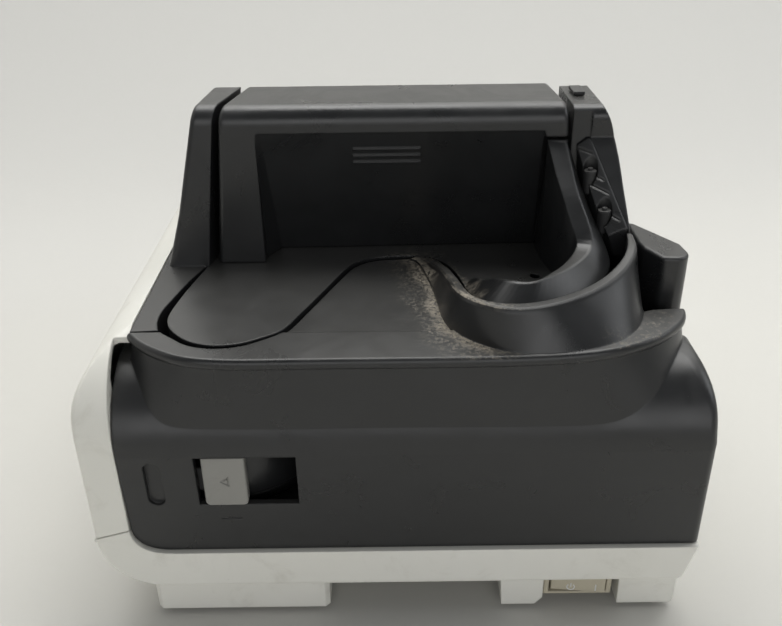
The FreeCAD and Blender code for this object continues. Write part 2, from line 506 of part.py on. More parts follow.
TR_TOP = 188.8
right = prism_yz([(56.9, 60.0), (56.9, 146.6), (79.6, 176.6), (79.1, 181.0), (78.5, TR_TOP), (112.0, TR_TOP), (112.0, 60.0)], 60.0, 125.0)
side = Part.BSplineCurve()
side.interpolate([V(x, 40.0, z) for x, z in ((82.4, 190.5), (84.3, 187.6), (86.7, 183.0), (89.0, 175.5), (90.5, 167.0), (91.4, 159.0), (92.3, 152.0), (93.4, 142.0), (95.0, 130.0), (96.2, 120.0), (97.0, 110.0))])
corner = [(97.0, 110.0), (97.4, 50.0), (40.0, 50.0), (40.0, 190.5), (82.4, 190.5)]
right = right.common(Part.Face(Part.Wire([side.toShape()] + [Part.LineSegment(V(a_[0], 40.0, a_[1]), V(b_[0], 40.0, b_[1])).toShape() for a_, b_ in zip(corner, corner[1:])])).extrude(V(0, 80.0, 0)))
chan = prism([*lines([(91.6, 56.0), (75.2, 80.6), (73.6, 82.0), (73.9, 112.2), (40.0, 112.2), (40.0, 40.0), (91.6, 40.0), (91.6, 56.0)])], 50.0, 152.0)
chan_up = prism([*lines([(93.2, 54.0), (79.45, 78.4), (79.3, 79.9), (72.1, 80.1), (71.8, 112.2), (40.0, 112.2), (40.0, 40.0), (93.2, 40.0), (93.2, 54.0)])], 152.0, 200.0)
right = right.cut(chan).cut(chan_up)
right = try_fillet(right, 5.0, lambda e: near(e, "z", TR_TOP, 0.6) and abs(mid(e).y - 78.5) < 0.5)
right = try_fillet(right, 2.0, lambda e: mid(e).y < 79.8 and e.BoundBox.ZLength > 3 and mid(e).x > 84.0 + (188 - mid(e).z) * 0.09)
right = right.cut(box(60, 120, 50, 120, 50, 116.0).cut(box(60, 96.0, 50, 120, 50, 116.0)))
# seat of the roller guide along the slanted inner edge
seat = prism_xy([(90.0, 54.0), (74.2, 80.2), (78.7, 82.9), (95.5, 56.6)], 100.0, 136.1)
right = right.cut(seat)
ROWS = [57.1, 63.2, 72.0, 79.4]
room_rows = [56.0, 63.2, 72.0, 80.0]
head_room = Part.makeLoft([Part.makePolygon([V(60.0, y, 136.0), V(guide_outer(y) + 0.12, y, 136.0), V(guide_outer(y) + 0.12, y, 205.0), V(60.0, y, 205.0), V(60.0, y, 136.0)]) for y in room_rows], True, True)
right = right.cut(head_room)
# below the deck's top the tower stays inside the side panel's edge
right = right.cut(box(99.0, 125.0, 84.3, 113.0, 50.0, 124.2))
GR = [(83.5, 62.3, 148.3), (78.8, 72.3, 161.0)]
# slot of the release lever in the top
right = right.cut(box(75.1, 77.9, 96.2, 106.4, 183.6, 195.0))
right = max(right.Solids, key=lambda s: s.Volume)
feature("right_tower", right)

guide = prism_xy([(91.5, 57.1), (75.9, 81.0), (78.5, 82.4), (94.1, 57.6)], 100.0, 136.0)
# the head: an inclined strip that leans in over the track
head = Part.makeLoft([Part.makePolygon([
    V(guide_inner(y), y, slope(y) - 2.6), V(guide_outer(y) - 1.5, y, slope(y) + 0.2), V(guide_outer(y), y, slope(y) + 0.2),
    V(guide_outer(y), y, 135.4), V(guide_inner(y) + 3.3, y, 135.4), V(guide_inner(y), y, slope(y) - 2.6)]) for y in ROWS], True, True)
guide = guide.fuse(head)
for gx, gy, gz in GR:
    guide = guide.cut(cyl(gx, gy, gz - 5.2, gz + 30.0, P("guide_roller_dia") + 1.0))
    guide = guide.cut(cyl(gx, gy, gz - 9.0, gz + 9.0, 2.06))
# stamped seams across the strip, a pair beside each roller
for y in (59.2, 65.6, 69.0, 75.6):
    x = guide_outer(y)
    cut_ = box(-12.0, 0.0, -0.22, 0.22, -0.5, 12.0)
    cut_.Placement = FreeCAD.Placement(V(x - 1.5, y, slope(y) - 0.45), FreeCAD.Rotation(V(0, 0, 1), -29.0))
    guide = guide.cut(cut_)
guide = max(guide.Solids, key=lambda s: s.Volume)
feature("roller_guide", guide)

# ------------------------------------------------------------------ hopper guide
wing = prism([*lines([(96.7, 57.4), (97.6, 52.0), (101.6, 43.8)]), Part.Arc(V(101.6, 43.8, 0), V(102.6, 42.4, 0), V(104.2, 41.9, 0)).toShape(),
              *lines([(104.2, 41.9), (108.2, 41.6)]), Part.Arc(V(108.2, 41.6, 0), V(112.0, 43.9, 0), V(113.2, 48.6, 0)).toShape(),
              *lines([(113.2, 48.6), (112.6, 55.0), (100.0, 76.0), (96.7, 78.0), (96.7, 57.4)])], 114.6, 141.4)
wing = try_fillet(wing, 1.4, lambda e: near(e, "z", 141.4))
wing = wing.cut(right)
wing = wing.cut(prism_xy([(100.4, 56.0), (109.0, 56.0), (101.2, 69.0), (100.4, 69.0)], 110.0, 138.0))
wing = max(wing.Solids, key=lambda s: s.Volume)
feature("hopper_guide", wing)

# ------------------------------------------------------------------- side panels
XL = P("left_side")
ZB = P("base_bottom")
YR = P("rear_face")


def side_profile(x_out, sign, z0, inset, reach, mid_in):
    """Front view of a side panel: straight wall and a rounded shoulder."""
    o = x_out + sign * inset
    a = V(o, 0, z0)
    b = V(o, 0, 97.0)
    c = V(o + sign * mid_in, 0, 115.0 - inset * 0.4)
    d = V(x_out + sign * reach, 0, 123.8 - inset)
    return [Part.LineSegment(a, b).toShape(), Part.Arc(b, c, d).toShape()], a, d


def side_block(x_out, sign, z0, y0, y1, inset, points, reach, mid_in):
    """The profile, closed along a row of points and drawn out from y0 to y1."""
    edges, a, d = side_profile(x_out, sign, z0, inset, reach, mid_in)
    pts = [d] + [V(x, 0, z) for x, z in points] + [a]
    body = Part.Face(Part.Wire(Part.__sortEdges__(edges + [Part.LineSegment(p, q).toShape() for p, q in zip(pts, pts[1:])]))).extrude(V(0, y1 - y0, 0))
    body.translate(V(0, y0, 0))
    return body


def front_round(body, y0, y1, z0):
    """Side view of the left panel: a rounded front top corner."""
    wall = [Part.LineSegment(V(0, y0, z0 - 5), V(0, y0, 88.0)).toShape(),
            Part.Arc(V(0, y0, 88.0), V(0, y0 + 9.0, 112.6), V(0, y0 + 34.0, 124.5)).toShape(),
            Part.LineSegment(V(0, y0 + 34.0, 124.5), V(0, y1 + 5, 124.5)).toShape(),
            Part.LineSegment(V(0, y1 + 5, 124.5), V(0, y1 + 5, z0 - 5)).toShape(),
            Part.LineSegment(V(0, y1 + 5, z0 - 5), V(0, y0, z0 - 5)).toShape()]
    cutter = Part.Face(Part.Wire(wall)).extrude(V(300, 0, 0))
    cutter.translate(V(-150, 0, 0))
    return body.common(cutter)


left_panel = side_block(XL, 1, 44.4, 0.6, YR, 0.0, [(-95.7, 123.8), (-95.7, 114.2), (-101.5, 114.2), (-101.5, 44.4)], 19.6, 6.6)
left_panel = front_round(left_panel, 0.6, YR, 44.4)
left_panel = try_fillet(left_panel, 2.2, lambda e: abs(mid(e).x - XL) < 0.6 and mid(e).y < 1.4 and e.BoundBox.ZLength > 20)
room = front_round(side_block(XL, 1, 30.0, 12.0, 278.0, 2.6, [(-90.0, 121.2), (-90.0, 30.0)], 19.6, 6.6), 5.0, 300.0, 20.0)
left_panel = left_panel.cut(room).cut(front_round(side_block(XL, 1, 30.0, 12.0, 290.0, 2.6, [(-90.0, 121.2), (-90.0, 30.0)], 19.6, 6.6), 5.0, 300.0, 20.0).common(box(-120, 0, 0, 300, 0, 111.3)))
left_panel = left_panel.cut(box(-101.6, -90.0, 0, 22.0, 100, 130))
left_panel = left_panel.cut(box(-101.6, -97.6, 0, 40.0, 100, 114.8)).cut(box(-112.6, -96.0, 3.6, 30.0, 50, 86))
# the seam with the tray rises towards the cover in the front face
left_panel = left_panel.cut(prism_xz([(-116.0, 44.0), (-115.5, 44.4), (-101.0, 48.5), (-101.0, 40.0), (-116.0, 40.0)], 0.0, 12.0))
feature("left_side_panel", max(left_panel.Solids, key=lambda s: s.Volume))

right_panel = side_block(116.0, -1, 44.4, 38.6, YR, 0.0, [(99.3, 123.8), (99.3, 44.4)], 16.6, 6.2)
# lower deck in front, which carries the hopper guide
right_panel = right_panel.cut(box(90, 120, 30, 84.5, 114.2, 130))
right_panel = right_panel.cut(box(80.0, 113.4, 30.0, 86.5, 40.0, 111.6))
room = side_block(116.0, -1, 30.0, 86.5, 278.0, 2.6, [(80.0, 121.2), (80.0, 30.0)], 16.6, 6.2)
right_panel = right_panel.cut(room).cut(side_block(116.0, -1, 30.0, 80.0, 290.0, 2.6, [(80.0, 121.2), (80.0, 30.0)], 16.6, 6.2).common(box(0, 120, 0, 300, 0, 111.3)))
# rounded front edge about the hinge's axis
right_panel = right_panel.cut(cyl(HX, HY, 40, 111.6, 2 * 6.2))
right_panel = right_panel.cut(box(80, 140, 30, 45.0, 30, 140).cut(cyl(HX, HY, 20, 150, 2 * 11.3)))
right_panel = right_panel.cut(box(80, 99.6, 30, 56.0, 30, 140))
feature("right_side_panel", max(right_panel.Solids, key=lambda s: s.Volume))

# ----------------------------------------------------------------- base tray
zb = ZB
prof = [Part.LineSegment(V(XL, 0, 44.0), V(XL, 0, 43.0)).toShape(),
        Part.Arc(V(XL, 0, 43.0), V(XL + 7.2, 0, zb + 7.2), V(XL + 24.5, 0, zb)).toShape(),
        Part.LineSegment(V(XL + 24.5, 0, zb), V(112.4, 0, zb)).toShape(),
        Part.Arc(V(112.4, 0, zb), V(114.7, 0, zb + 0.8), V(115.9, 0, zb + 2.9)).toShape(),
        Part.LineSegment(V(115.9, 0, zb + 2.9), V(119.8, 0, 36.3)).toShape(),
        Part.LineSegment(V(119.8, 0, 36.3), V(118.0, 0, 44.0)).toShape(),
        Part.LineSegment(V(118.0, 0, 44.0), V(XL, 0, 44.0)).toShape()]
base = Part.Face(Part.Wire(prof)).extrude(V(0, YR - 0.6, 0))
base.translate(V(0, 0.6, 0))
base = try_fillet(base, 2.0, lambda e: near(e, "y", 0.6) and mid(e).z < 43.9)
# step for the front cover: lower rim in front, higher behind it
base = base.cut(box(-101.4, 125.0, -2, 38.4, 36.3, 60))
# the front corner rises round the cover's rounded corner, and the seam with the left panel rises with it
base = base.fuse(corner_block([(x - 0.45, z - 0.5) for x, z in CORNER], 33.0, -101.45, 0.6, 10.0))
base = base.fuse(prism_xz([(XL, 43.0), (XL, 44.0), (-101.4, 47.9), (-101.4, 43.0)], 0.6, 10.0))
base = base.cut(prism_xy([(105.0, 38.0), (125, 38.0), (125, 48.0), (116.2, 54.0), (105.0, 54.0)], 36.3, 60).common(box(90, 130, 30, 60, 36.3, 60)))
base = base.cut(prism_xz([(-112.6, 60), (-112.6, 43), (-110.2, 33), (-104, 25.5), (-91, 21.5), (107, 21.5), (112, 26), (113.4, 36), (113.4, 60)], 5.0, YR - 2.6))
base = base.cut(box(116.0, 125.0, 38.0, 290.0, 36.3, 60))
# feet blocks under the tray, with the switch recess between two of them
feet = [prism_xy([(-97.4, 40), (-97.4, 6.4), (-95.5, 4.5), (-28.4, 4.5), (-26.5, 6.4), (-26.5, 40)], 2.4, 20.0),
        prism_xz([(42.8, 20.0), (43.9, 2.4), (57.6, 2.4), (60.8, 6.4), (60.8, 20.0)], 4.5, 40),
        prism_xz([(91.0, 20.0), (91.4, 2.4), (113.0, 2.4), (114.2, 3.6), (114.4, 20.0)], 4.5, 40),
        box(-97, -52, 236, 272, 2.4, 20.0), box(60, 108, 236, 272, 2.4, 20.0)]
for f in feet:
    base = base.fuse(f)
base = base.fuse(box(60.0, 91.5, 22.6, 26.0, 4.0, 20.0))
base = base.cut(box(60.6, 89.4, -2.0, 22.5, 2.0, 19.2))
PLATE_SCREWS = [(-100, 60), (-100, 200), (100, 75), (100, 200), (0, 60), (0, 259)]
for x, y in PLATE_SCREWS:
    base = base.fuse(cyl(x, y, 20.0, 46.0, 9.0))
# stand-offs under the main board
for x, y in ((-84, 156), (84, 156), (-84, 244), (84, 244)):
    base = base.fuse(cyl(x, y, 20.0, 29.9, 6.0))
base = base.cut(box(-76, -46, 276, 290, 24.5, 60.0)).cut(box(-31, -15, 276, 290, 24.5, 60)).cut(box(9, 25, 276, 290, 24.5, 60))
base = max(base.Solids, key=lambda s: s.Volume)
feature("base_tray", base)

rear = prism_xz([(-112.4, 44.3), (113.0, 44.3), (113.0, 96.5), (108.2, 111.0), (-107.4, 111.0), (-112.4, 96.5)], 278.2, 280.8)
for x0 in range(30, 96, 6):
    rear = rear.cut(box(x0, x0 + 2.2, 270, 290, 58, 92))
rear = rear.fuse(box(-74.5, -47.5, 276.0, 280.6, 44.3, 46.3))
feature("rear_panel", rear)

# ----------------------------------------------------------------- rear housing
rear_line = [(112.5, 60.0), (112.5, 177.0), (150.0, 172.0), (205.0, 158.0), (250.0, 131.0), (262.0, 125.0), (280.8, 123.6), (280.8, 111.4), (277.5, 111.4), (277.5, 60.0)]
house = prism_yz(rear_line, -95.4, 99.0)
taper = Part.makeLoft([polywire([(-95.4, 112.5, 60), (99.0, 112.5, 60), (99.0, 281, 60), (-95.4, 281, 60)]),
                       polywire([(-95.4, 112.5, 124), (99.0, 112.5, 124), (99.0, 281, 124), (-95.4, 281, 124)]),
                       polywire([(-77.0, 112.5, 190), (84.0, 112.5, 190), (84.0, 281, 190), (-77.0, 281, 190)])], True, True)
house = house.common(taper)
house = try_fillet(house, 5.0, lambda e: mid(e).z > 130 and e.BoundBox.YLength > 20 and (mid(e).x < -60 or mid(e).x > 70))
shell_room = prism_yz([(115.0, 50.0), (115.0, 174.2), (149.6, 169.2), (203.8, 155.4), (248.8, 128.4), (261.6, 122.0), (275.0, 120.8), (275.0, 50.0)], -93.0, 96.6).common(
    Part.makeLoft([polywire([(-92.8, 112.5, 40), (96.4, 112.5, 40), (96.4, 281, 40), (-92.8, 281, 40)]),
                   polywire([(-92.8, 112.5, 122), (96.4, 112.5, 122), (96.4, 281, 122), (-92.8, 281, 122)]),
                   polywire([(-74.6, 112.5, 190), (81.6, 112.5, 190), (81.6, 281, 190), (-74.6, 281, 190)])], True, True))
pocket_in = [(-74.2, 110.0), (-70.6, 110.0), (-68.6, 126.0), (-64.5, 140.0), (-64.5, 250.0), (-84.0, 250.0), (-84.0, 152.0), (-76.4, 134.0)]
pocket_out = [(-76.6, 112.6), (-68.0, 112.6), (-66.4, 126.0), (-62.3, 139.6), (-62.3, 252.2), (-86.2, 252.2), (-86.2, 151.6), (-78.6, 134.0)]
exit_in = [(70.6, 110.0), (73.9, 110.0), (76.0, 132.0), (90.0, 148.0), (90.0, 250.0), (66.0, 250.0), (66.0, 150.0), (71.0, 132.0)]
exit_out = [(68.4, 112.6), (76.2, 112.6), (78.0, 130.8), (92.2, 147.0), (92.2, 252.2), (63.8, 252.2), (63.8, 149.6), (68.8, 131.6)]
walls = prism_xy(pocket_out, 60.0, 190.0).fuse(prism_xy(exit_out, 60.0, 190.0)).fuse(box(-56.0, 56.0, 112.5, 260.4, 60.0, 190.0))
house = house.cut(shell_room.cut(walls))
house = house.cut(prism_xy(pocket_in, 62.4, 200.0)).cut(prism_xy(exit_in, 62.4, 200.0))
house = house.cut(box(-54.0, 54.0, 110.0, 258.4, 50.0, 200.0))
house = house.cut(Part.makeCylinder(P("lid_pin_dia") / 2 + 0.01, 111.2, V(-55.6, 251.0, 126.4), V(1, 0, 0)))
house = house.cut(prism_yz([(255.0, 200), (255.0, 123.0), (261.4, 123.0), (262.4, 200)], -54.0, 54.0))
house = max(house.Solids, key=lambda s: s.Volume)
feature("rear_housing", house)

# paper roll cover: curved lid with skirts, hinged at its rear edge
LH = P("lid_half")
lid_top = [(114.0, 183.2), (124.0, 182.6), (150.0, 178.2), (180.0, 171.4), (208.0, 161.6), (232.0, 148.4), (248.0, 137.0), (256.6, 129.6)]
lid_in = [(254.6, 127.0), (246.6, 134.6), (230.6, 146.0), (206.8, 159.0), (179.2, 168.8), (149.4, 175.6), (124.0, 179.9), (116.4, 180.4)]


def yz_curve(points, x):
    c = Part.BSplineCurve()
    c.interpolate([V(x, p[0], p[1]) for p in points])
    return c.toShape()


def yz_line(a, b, x):
    return Part.LineSegment(V(x, a[0], a[1]), V(x, b[0], b[1])).toShape()


lid_face = Part.Face(Part.Wire(Part.__sortEdges__([yz_curve(lid_top, -LH), yz_line(lid_top[-1], lid_in[0], -LH), yz_curve(lid_in, -LH), yz_line(lid_in[-1], lid_top[0], -LH)])))
lid = lid_face.extrude(V(2 * LH, 0, 0))
side_face = Part.Face(Part.Wire(Part.__sortEdges__([yz_curve(lid_top, -LH), yz_line(lid_top[-1], (254.0, 124.0), -LH), yz_line((254.0, 124.0), (206.0, 148.0), -LH), yz_line((206.0, 148.0), (150.0, 166.0), -LH), yz_line((150.0, 166.0), (132.0, 166.0), -LH), yz_line((132.0, 166.0), (114.6, 168.0), -LH), yz_line((114.6, 168.0), lid_top[0], -LH)])))
for dx in (0.0, 2 * LH - 2.4):
    s = side_face.extrude(V(2.4, 0, 0))
    s.translate(V(dx, 0, 0))
    lid = lid.fuse(s)
lid = lid.fuse(box(-LH, LH, 114.0, 116.4, 176.0, 183.0))
LY, LZ = 251.0, 126.4
lid = lid.fuse(Part.makeCylinder(4.2, 30.0, V(-46.0, LY, LZ), V(1, 0, 0))).fuse(Part.makeCylinder(4.2, 30.0, V(16.0, LY, LZ), V(1, 0, 0)))
lid = lid.cut(Part.makeCylinder(P("lid_pin_dia") / 2 + 0.04, 120.0, V(-60.0, LY, LZ), V(1, 0, 0)))
PY, PZ = 123.0, 171.0
lid = lid.cut(Part.makeCylinder(1.53, 120.0, V(-60.0, PY, PZ), V(1, 0, 0)))
lid = max(lid.Solids, key=lambda s: s.Volume)
feature("roll_cover", lid)

# ------------------------------------------------------------------- drive belt
MOTOR = (0.0, 104.0)
pulleys = [ROLLERS[1], ROLLERS[2], ROLLERS[3], MOTOR, ROLLERS[0]]


def belt_ring(r, z0, z1):
    """Outline of a belt round the pulleys: the hull of equal circles."""
    out = None
    pts = [V(p[0], p[1], 0) for p in pulleys]
    edges = []
    n = len(pts)
    offs = []
    for i in range(n):
        a, b = pts[i], pts[(i + 1) % n]
        d = (b - a)
        d.normalize()
        o = V(d.y, -d.x, 0) * r
        offs.append((a + o, b + o, o))
    for i in range(n):
        a1, b1, o1 = offs[i]
        a2, b2, o2 = offs[(i + 1) % n]
        edges.append(Part.LineSegment(a1, b1).toShape())
        c = pts[(i + 1) % n]
        m = (o1 + o2)
        m.normalize()
        edges.append(Part.Arc(b1, c + m * r, a2).toShape())
    w = Part.Wire(edges)
    w.translate(V(0, 0, z0))
    return Part.Face(w).extrude(V(0, 0, z1 - z0))


PR = P("pulley_dia") / 2
feature("drive_belt", belt_ring(PR + 1.5, 49.7, 52.7).cut(belt_ring(PR + 0.35, 49.0, 54.0)))


# ============================================================ bound primitives
def bound(obj, prop, expr):
    obj.setExpression(prop, expr)


def p_box(name, x, y, z, wide, deep, tall):
    b = doc.addObject("Part::Box", name)
    b.Placement = FreeCAD.Placement(V(x, y, z), FreeCAD.Rotation())
    bound(b, "Length", "Dims." + wide if isinstance(wide, str) else repr(wide))
    bound(b, "Width", "Dims." + deep if isinstance(deep, str) else repr(deep))
    bound(b, "Height", "Dims." + tall if isinstance(tall, str) else repr(tall))
    return b


def p_cyl(name, x, y, z, dia, tall, axis=None):
    c = doc.addObject("Part::Cylinder", name)
    rot = FreeCAD.Rotation() if axis is None else FreeCAD.Rotation(V(0, 0, 1), axis)
    c.Placement = FreeCAD.Placement(V(x, y, z), rot)
    bound(c, "Radius", ("Dims.%s / 2" % dia) if isinstance(dia, str) else repr(dia / 2.0))
    bound(c, "Height", ("Dims." + tall) if isinstance(tall, str) else repr(tall))
    return c


def p_cut(name, base_obj, *tools):
    for i, t in enumerate(tools):
        c = doc.addObject("Part::Cut", "%s_%d" % (name, i))
        c.Base, c.Tool = base_obj, t
        base_obj = c
    return base_obj


def p_fuse(name, *parts):
    f = doc.addObject("Part::MultiFuse", name)
    f.Shapes = list(parts)
    return f


# ---------------------------------------------------------- bodies with sketches
def plane_of(body, role):
    for f in body.Origin.OriginFeatures:
        if f.Role == role:
            return f


def add_rect(sk, x0, y0, w_expr, h_expr, w, h, tag):
    """A rectangle whose width and height are bound to the sheet."""
    import Sketcher
    n = sk.GeometryCount
    pts = [V(x0, y0, 0), V(x0 + w, y0, 0), V(x0 + w, y0 + h, 0), V(x0, y0 + h, 0)]
    for a, b in zip(pts, pts[1:] + pts[:1]):
        sk.addGeometry(Part.LineSegment(a, b), False)
    for i in range(4):
        sk.addConstraint(Sketcher.Constraint("Coincident", n + i, 2, n + (i + 1) % 4, 1))
    sk.addConstraint(Sketcher.Constraint("Horizontal", n))
    sk.addConstraint(Sketcher.Constraint("Horizontal", n + 2))
    sk.addConstraint(Sketcher.Constraint("Vertical", n + 1))
    sk.addConstraint(Sketcher.Constraint("Vertical", n + 3))
    sk.addConstraint(Sketcher.Constraint("DistanceX", -1, 1, n, 1, x0))
    sk.addConstraint(Sketcher.Constraint("DistanceY", -1, 1, n, 1, y0))
    i = sk.addConstraint(Sketcher.Constraint("DistanceX", n, 1, n, 2, w))
    sk.renameConstraint(i, tag + "_w")
    sk.setExpression("Constraints." + tag + "_w", w_expr)
    i = sk.addConstraint(Sketcher.Constraint("DistanceY", n + 1, 1, n + 1, 2, h))
    sk.renameConstraint(i, tag + "_h")
    sk.setExpression("Constraints." + tag + "_h", h_expr)


def add_circle(sk, x, y, d_expr, d, tag):
    import Sketcher
    n = sk.GeometryCount
    sk.addGeometry(Part.Circle(V(x, y, 0), V(0, 0, 1), d / 2.0), False)
    sk.addConstraint(Sketcher.Constraint("DistanceX", -1, 1, n, 3, x))
    sk.addConstraint(Sketcher.Constraint("DistanceY", -1, 1, n, 3, y))
    i = sk.addConstraint(Sketcher.Constraint("Diameter", n, d))
    sk.renameConstraint(i, tag + "_d")
    sk.setExpression("Constraints." + tag + "_d", d_expr)


def sketch(body, name, role, offset=0.0):
    sk = body.newObject("Sketcher::SketchObject", name)
    sk.AttachmentSupport = [(plane_of(body, role), "")]
    sk.MapMode = "FlatFace"
    if offset:
        sk.AttachmentOffset = FreeCAD.Placement(V(0, 0, offset), FreeCAD.Rotation())
    return sk


def pad(body, sk, name, expr, reverse=False):
    p = body.newObject("PartDesign::Pad", name)
    p.Profile = sk
    p.setExpression("Length", expr)
    p.Reversed = reverse
    return p


def turned(label, x, y, z0, steps_):
    """A turned piece with a vertical axis, from (radius, length) steps."""
    body = doc.addObject("PartDesign::Body", "B_" + label)
    sk = sketch(body, "S_" + label, "XZ_Plane")
    pts = [(0.0, 0.0)]
    z = 0.0
    for r, length in steps_:
        pts += [(r, z), (r, z + length)]
        z += length
    pts += [(0.0, z)]
    for a, b in zip(pts, pts[1:] + pts[:1]):
        sk.addGeometry(Part.LineSegment(V(a[0], a[1], 0), V(b[0], b[1], 0)), False)
    rev = body.newObject("PartDesign::Revolution", "R_" + label)
    rev.Profile = sk
    rev.ReferenceAxis = (sk, ["V_Axis"])
    rev.Angle = 360.0
    doc.recompute()
    body.Placement = FreeCAD.Placement(V(x, y, z0), FreeCAD.Rotation())
    return place(body, label)


def fillet_edges(body, feature_, name, pick, expr):
    doc.recompute()
    names = ["Edge%d" % (i + 1) for i, e in enumerate(feature_.Shape.Edges) if pick(e)]
    f = body.newObject("PartDesign::Fillet", name)
    f.Base = (feature_, names)
    f.setExpression("Radius", expr)
    doc.recompute()
    if "Invalid" in f.State or f.Shape.isNull():
        body.removeObject(f)
        doc.removeObject(f.Name)
        body.Tip = feature_
        doc.recompute()
        return feature_
    return f


# latch knob: rounded plate with a small engraved arrow head, in the window
knob = doc.addObject("PartDesign::Body", "B_latch_knob")
sk = sketch(knob, "S_knob", "XZ_Plane")
add_rect(sk, -8.0, 0.0, "Dims.knob_wide", "Dims.knob_tall", P("knob_wide"), P("knob_tall"), "face")
kp = pad(knob, sk, "P_knob", "Dims.knob_deep")
doc.recompute()
kf = fillet_edges(knob, kp, "Fi_knob", lambda e: e.BoundBox.YLength > 3 and mid(e).z < 2, "Dims.knob_round")
kf = fillet_edges(knob, kf, "Fi_knob_face", lambda e: near(e, "y", -P("knob_deep"), 0.05) and mid(e).z < P("knob_tall") - 0.5, "Dims.knob_round / 3")
arrow = sketch(knob, "S_arrow", "XZ_Plane")
tri = [(-1.7, 11.2), (1.6, 13.4), (1.6, 9.0)]
tri2 = [(-0.7, 11.2), (1.0, 12.4), (1.0, 10.0)]
for t in (tri, tri2):
    for a, b in zip(t, t[1:] + t[:1]):
        arrow.addGeometry(Part.LineSegment(V(a[0], a[1], 0), V(b[0], b[1], 0)), False)
arrow.AttachmentOffset = FreeCAD.Placement(V(0, 0, P("knob_deep") + 0.5), FreeCAD.Rotation())
before = kf.Shape.Volume
ap = knob.newObject("PartDesign::Pocket", "Po_arrow")
ap.Profile = arrow
ap.Length = 0.9
ap.Reversed = False
doc.recompute()
if ap.Shape.isNull() or abs(ap.Shape.Volume - before) < 0.1:
    ap.Reversed = True
    doc.recompute()
knob.Placement = FreeCAD.Placement(V(-62.4, 4.4, 60.65), FreeCAD.Rotation())
place(knob, "latch_knob")

# latch bolt: thin bar behind the front face, with a finger that the keeper holds
bar = p_box("bolt_bar", -90.0, 4.4, 65.0, "bolt_long", "bolt_thick", "bolt_tall")
finger = p_box("bolt_finger", -90.6, 6.75, 66.5, 5.0, 1.2, 7.0)
web = p_box("bolt_web", -90.0, 5.4, 66.5, 2.0, 1.6, 7.0)
bolt = p_fuse("latch_bolt_f", bar, finger, web)
place(bolt, "latch_bolt")
# the keeper, a block fixed at the left of the track, with a pocket for the finger
k1 = p_box("keeper_block", -97.0, 4.3, 60.0, "keeper_wide", 17.6, 20.0)
k2 = p_box("keeper_pocket", -98.0, 6.3, 65.8, 7.6, 2.7, 8.4)
place(p_cut("latch_keeper_f", k1, k2), "latch_keeper")

# power switch: housing with a framed opening, and a rocker in it
bez = doc.addObject("PartDesign::Body", "B_switch")
sk = sketch(bez, "S_bezel", "XZ_Plane")
add_rect(sk, -14.0, -6.5, "Dims.bezel_wide", "Dims.bezel_tall", P("bezel_wide"), P("bezel_tall"), "face")
bp = pad(bez, sk, "P_bezel", "Dims.bezel_deep", True)
doc.recompute()
bf = fillet_edges(bez, bp, "Fi_bezel", lambda e: near(e, "y", 0.0, 0.05), "Dims.rocker_round")
hole = sketch(bez, "S_bezel_hole", "XZ_Plane")
add_rect(hole, -11.8, -4.9, "Dims.rocker_wide + 1.6", "Dims.rocker_tall + 0.8", 23.6, 9.8, "opening")
before = bf.Shape.Volume
hp = bez.newObject("PartDesign::Pocket", "Po_bezel")
hp.Profile = hole
hp.Length = 12.0
doc.recompute()
if hp.Shape.isNull() or before - hp.Shape.Volume < 500:
    hp.Reversed = True
    doc.recompute()
bez.Placement = FreeCAD.Placement(V(75.0, 6.2, 12.4), FreeCAD.Rotation())
place(bez, "switch_housing")

rock = doc.addObject("PartDesign::Body", "B_rocker")
sk = sketch(rock, "S_rocker", "XY_Plane", 0.0)
prof_r = [(-10.8, 1.6), (-10.8, 4.2), (0.0, 6.6), (10.8, 4.2), (10.8, -0.9), (0.0, 0.5)]
for a, b in zip(prof_r, prof_r[1:] + prof_r[:1]):
    sk.addGeometry(Part.LineSegment(V(a[0], a[1], 0), V(b[0], b[1], 0)), False)
rp = pad(rock, sk, "P_rocker", "Dims.rocker_tall")
doc.recompute()
rf = fillet_edges(rock, rp, "Fi_rocker", lambda e: mid(e).y < 2.5 and e.BoundBox.ZLength < 0.1, "Dims.rocker_round")
rock.Placement = FreeCAD.Placement(V(75.0, 5.2, 12.4 - 4.5), FreeCAD.Rotation())
place(rock, "power_rocker")

# drive rollers on their shafts
for i, (x, y) in enumerate(ROLLERS):
    tag = ("entry", "left", "right", "exit")[i]
    turned("drive_shaft_" + tag, x, y, 48.7, [(PR - 0.4, 0.8), (PR, 3.4), (PR - 0.4, 0.8), (P("shaft_dia") / 2, 60.0)])
    rb = doc.addObject("PartDesign::Body", "B_roller_" + tag)
    sk = sketch(rb, "S_roller_" + tag, "XY_Plane")
    add_circle(sk, 0.0, 0.0, "Dims.roller_dia", P("roller_dia"), "rim")
    add_circle(sk, 0.0, 0.0, "Dims.shaft_dia", P("shaft_dia"), "bore")
    pad(rb, sk, "P_roller_" + tag, "Dims.roller_tall")
    doc.recompute()
    rb.Placement = FreeCAD.Placement(V(x, y, 66.0), FreeCAD.Rotation())
    place(rb, "drive_roller_" + tag)

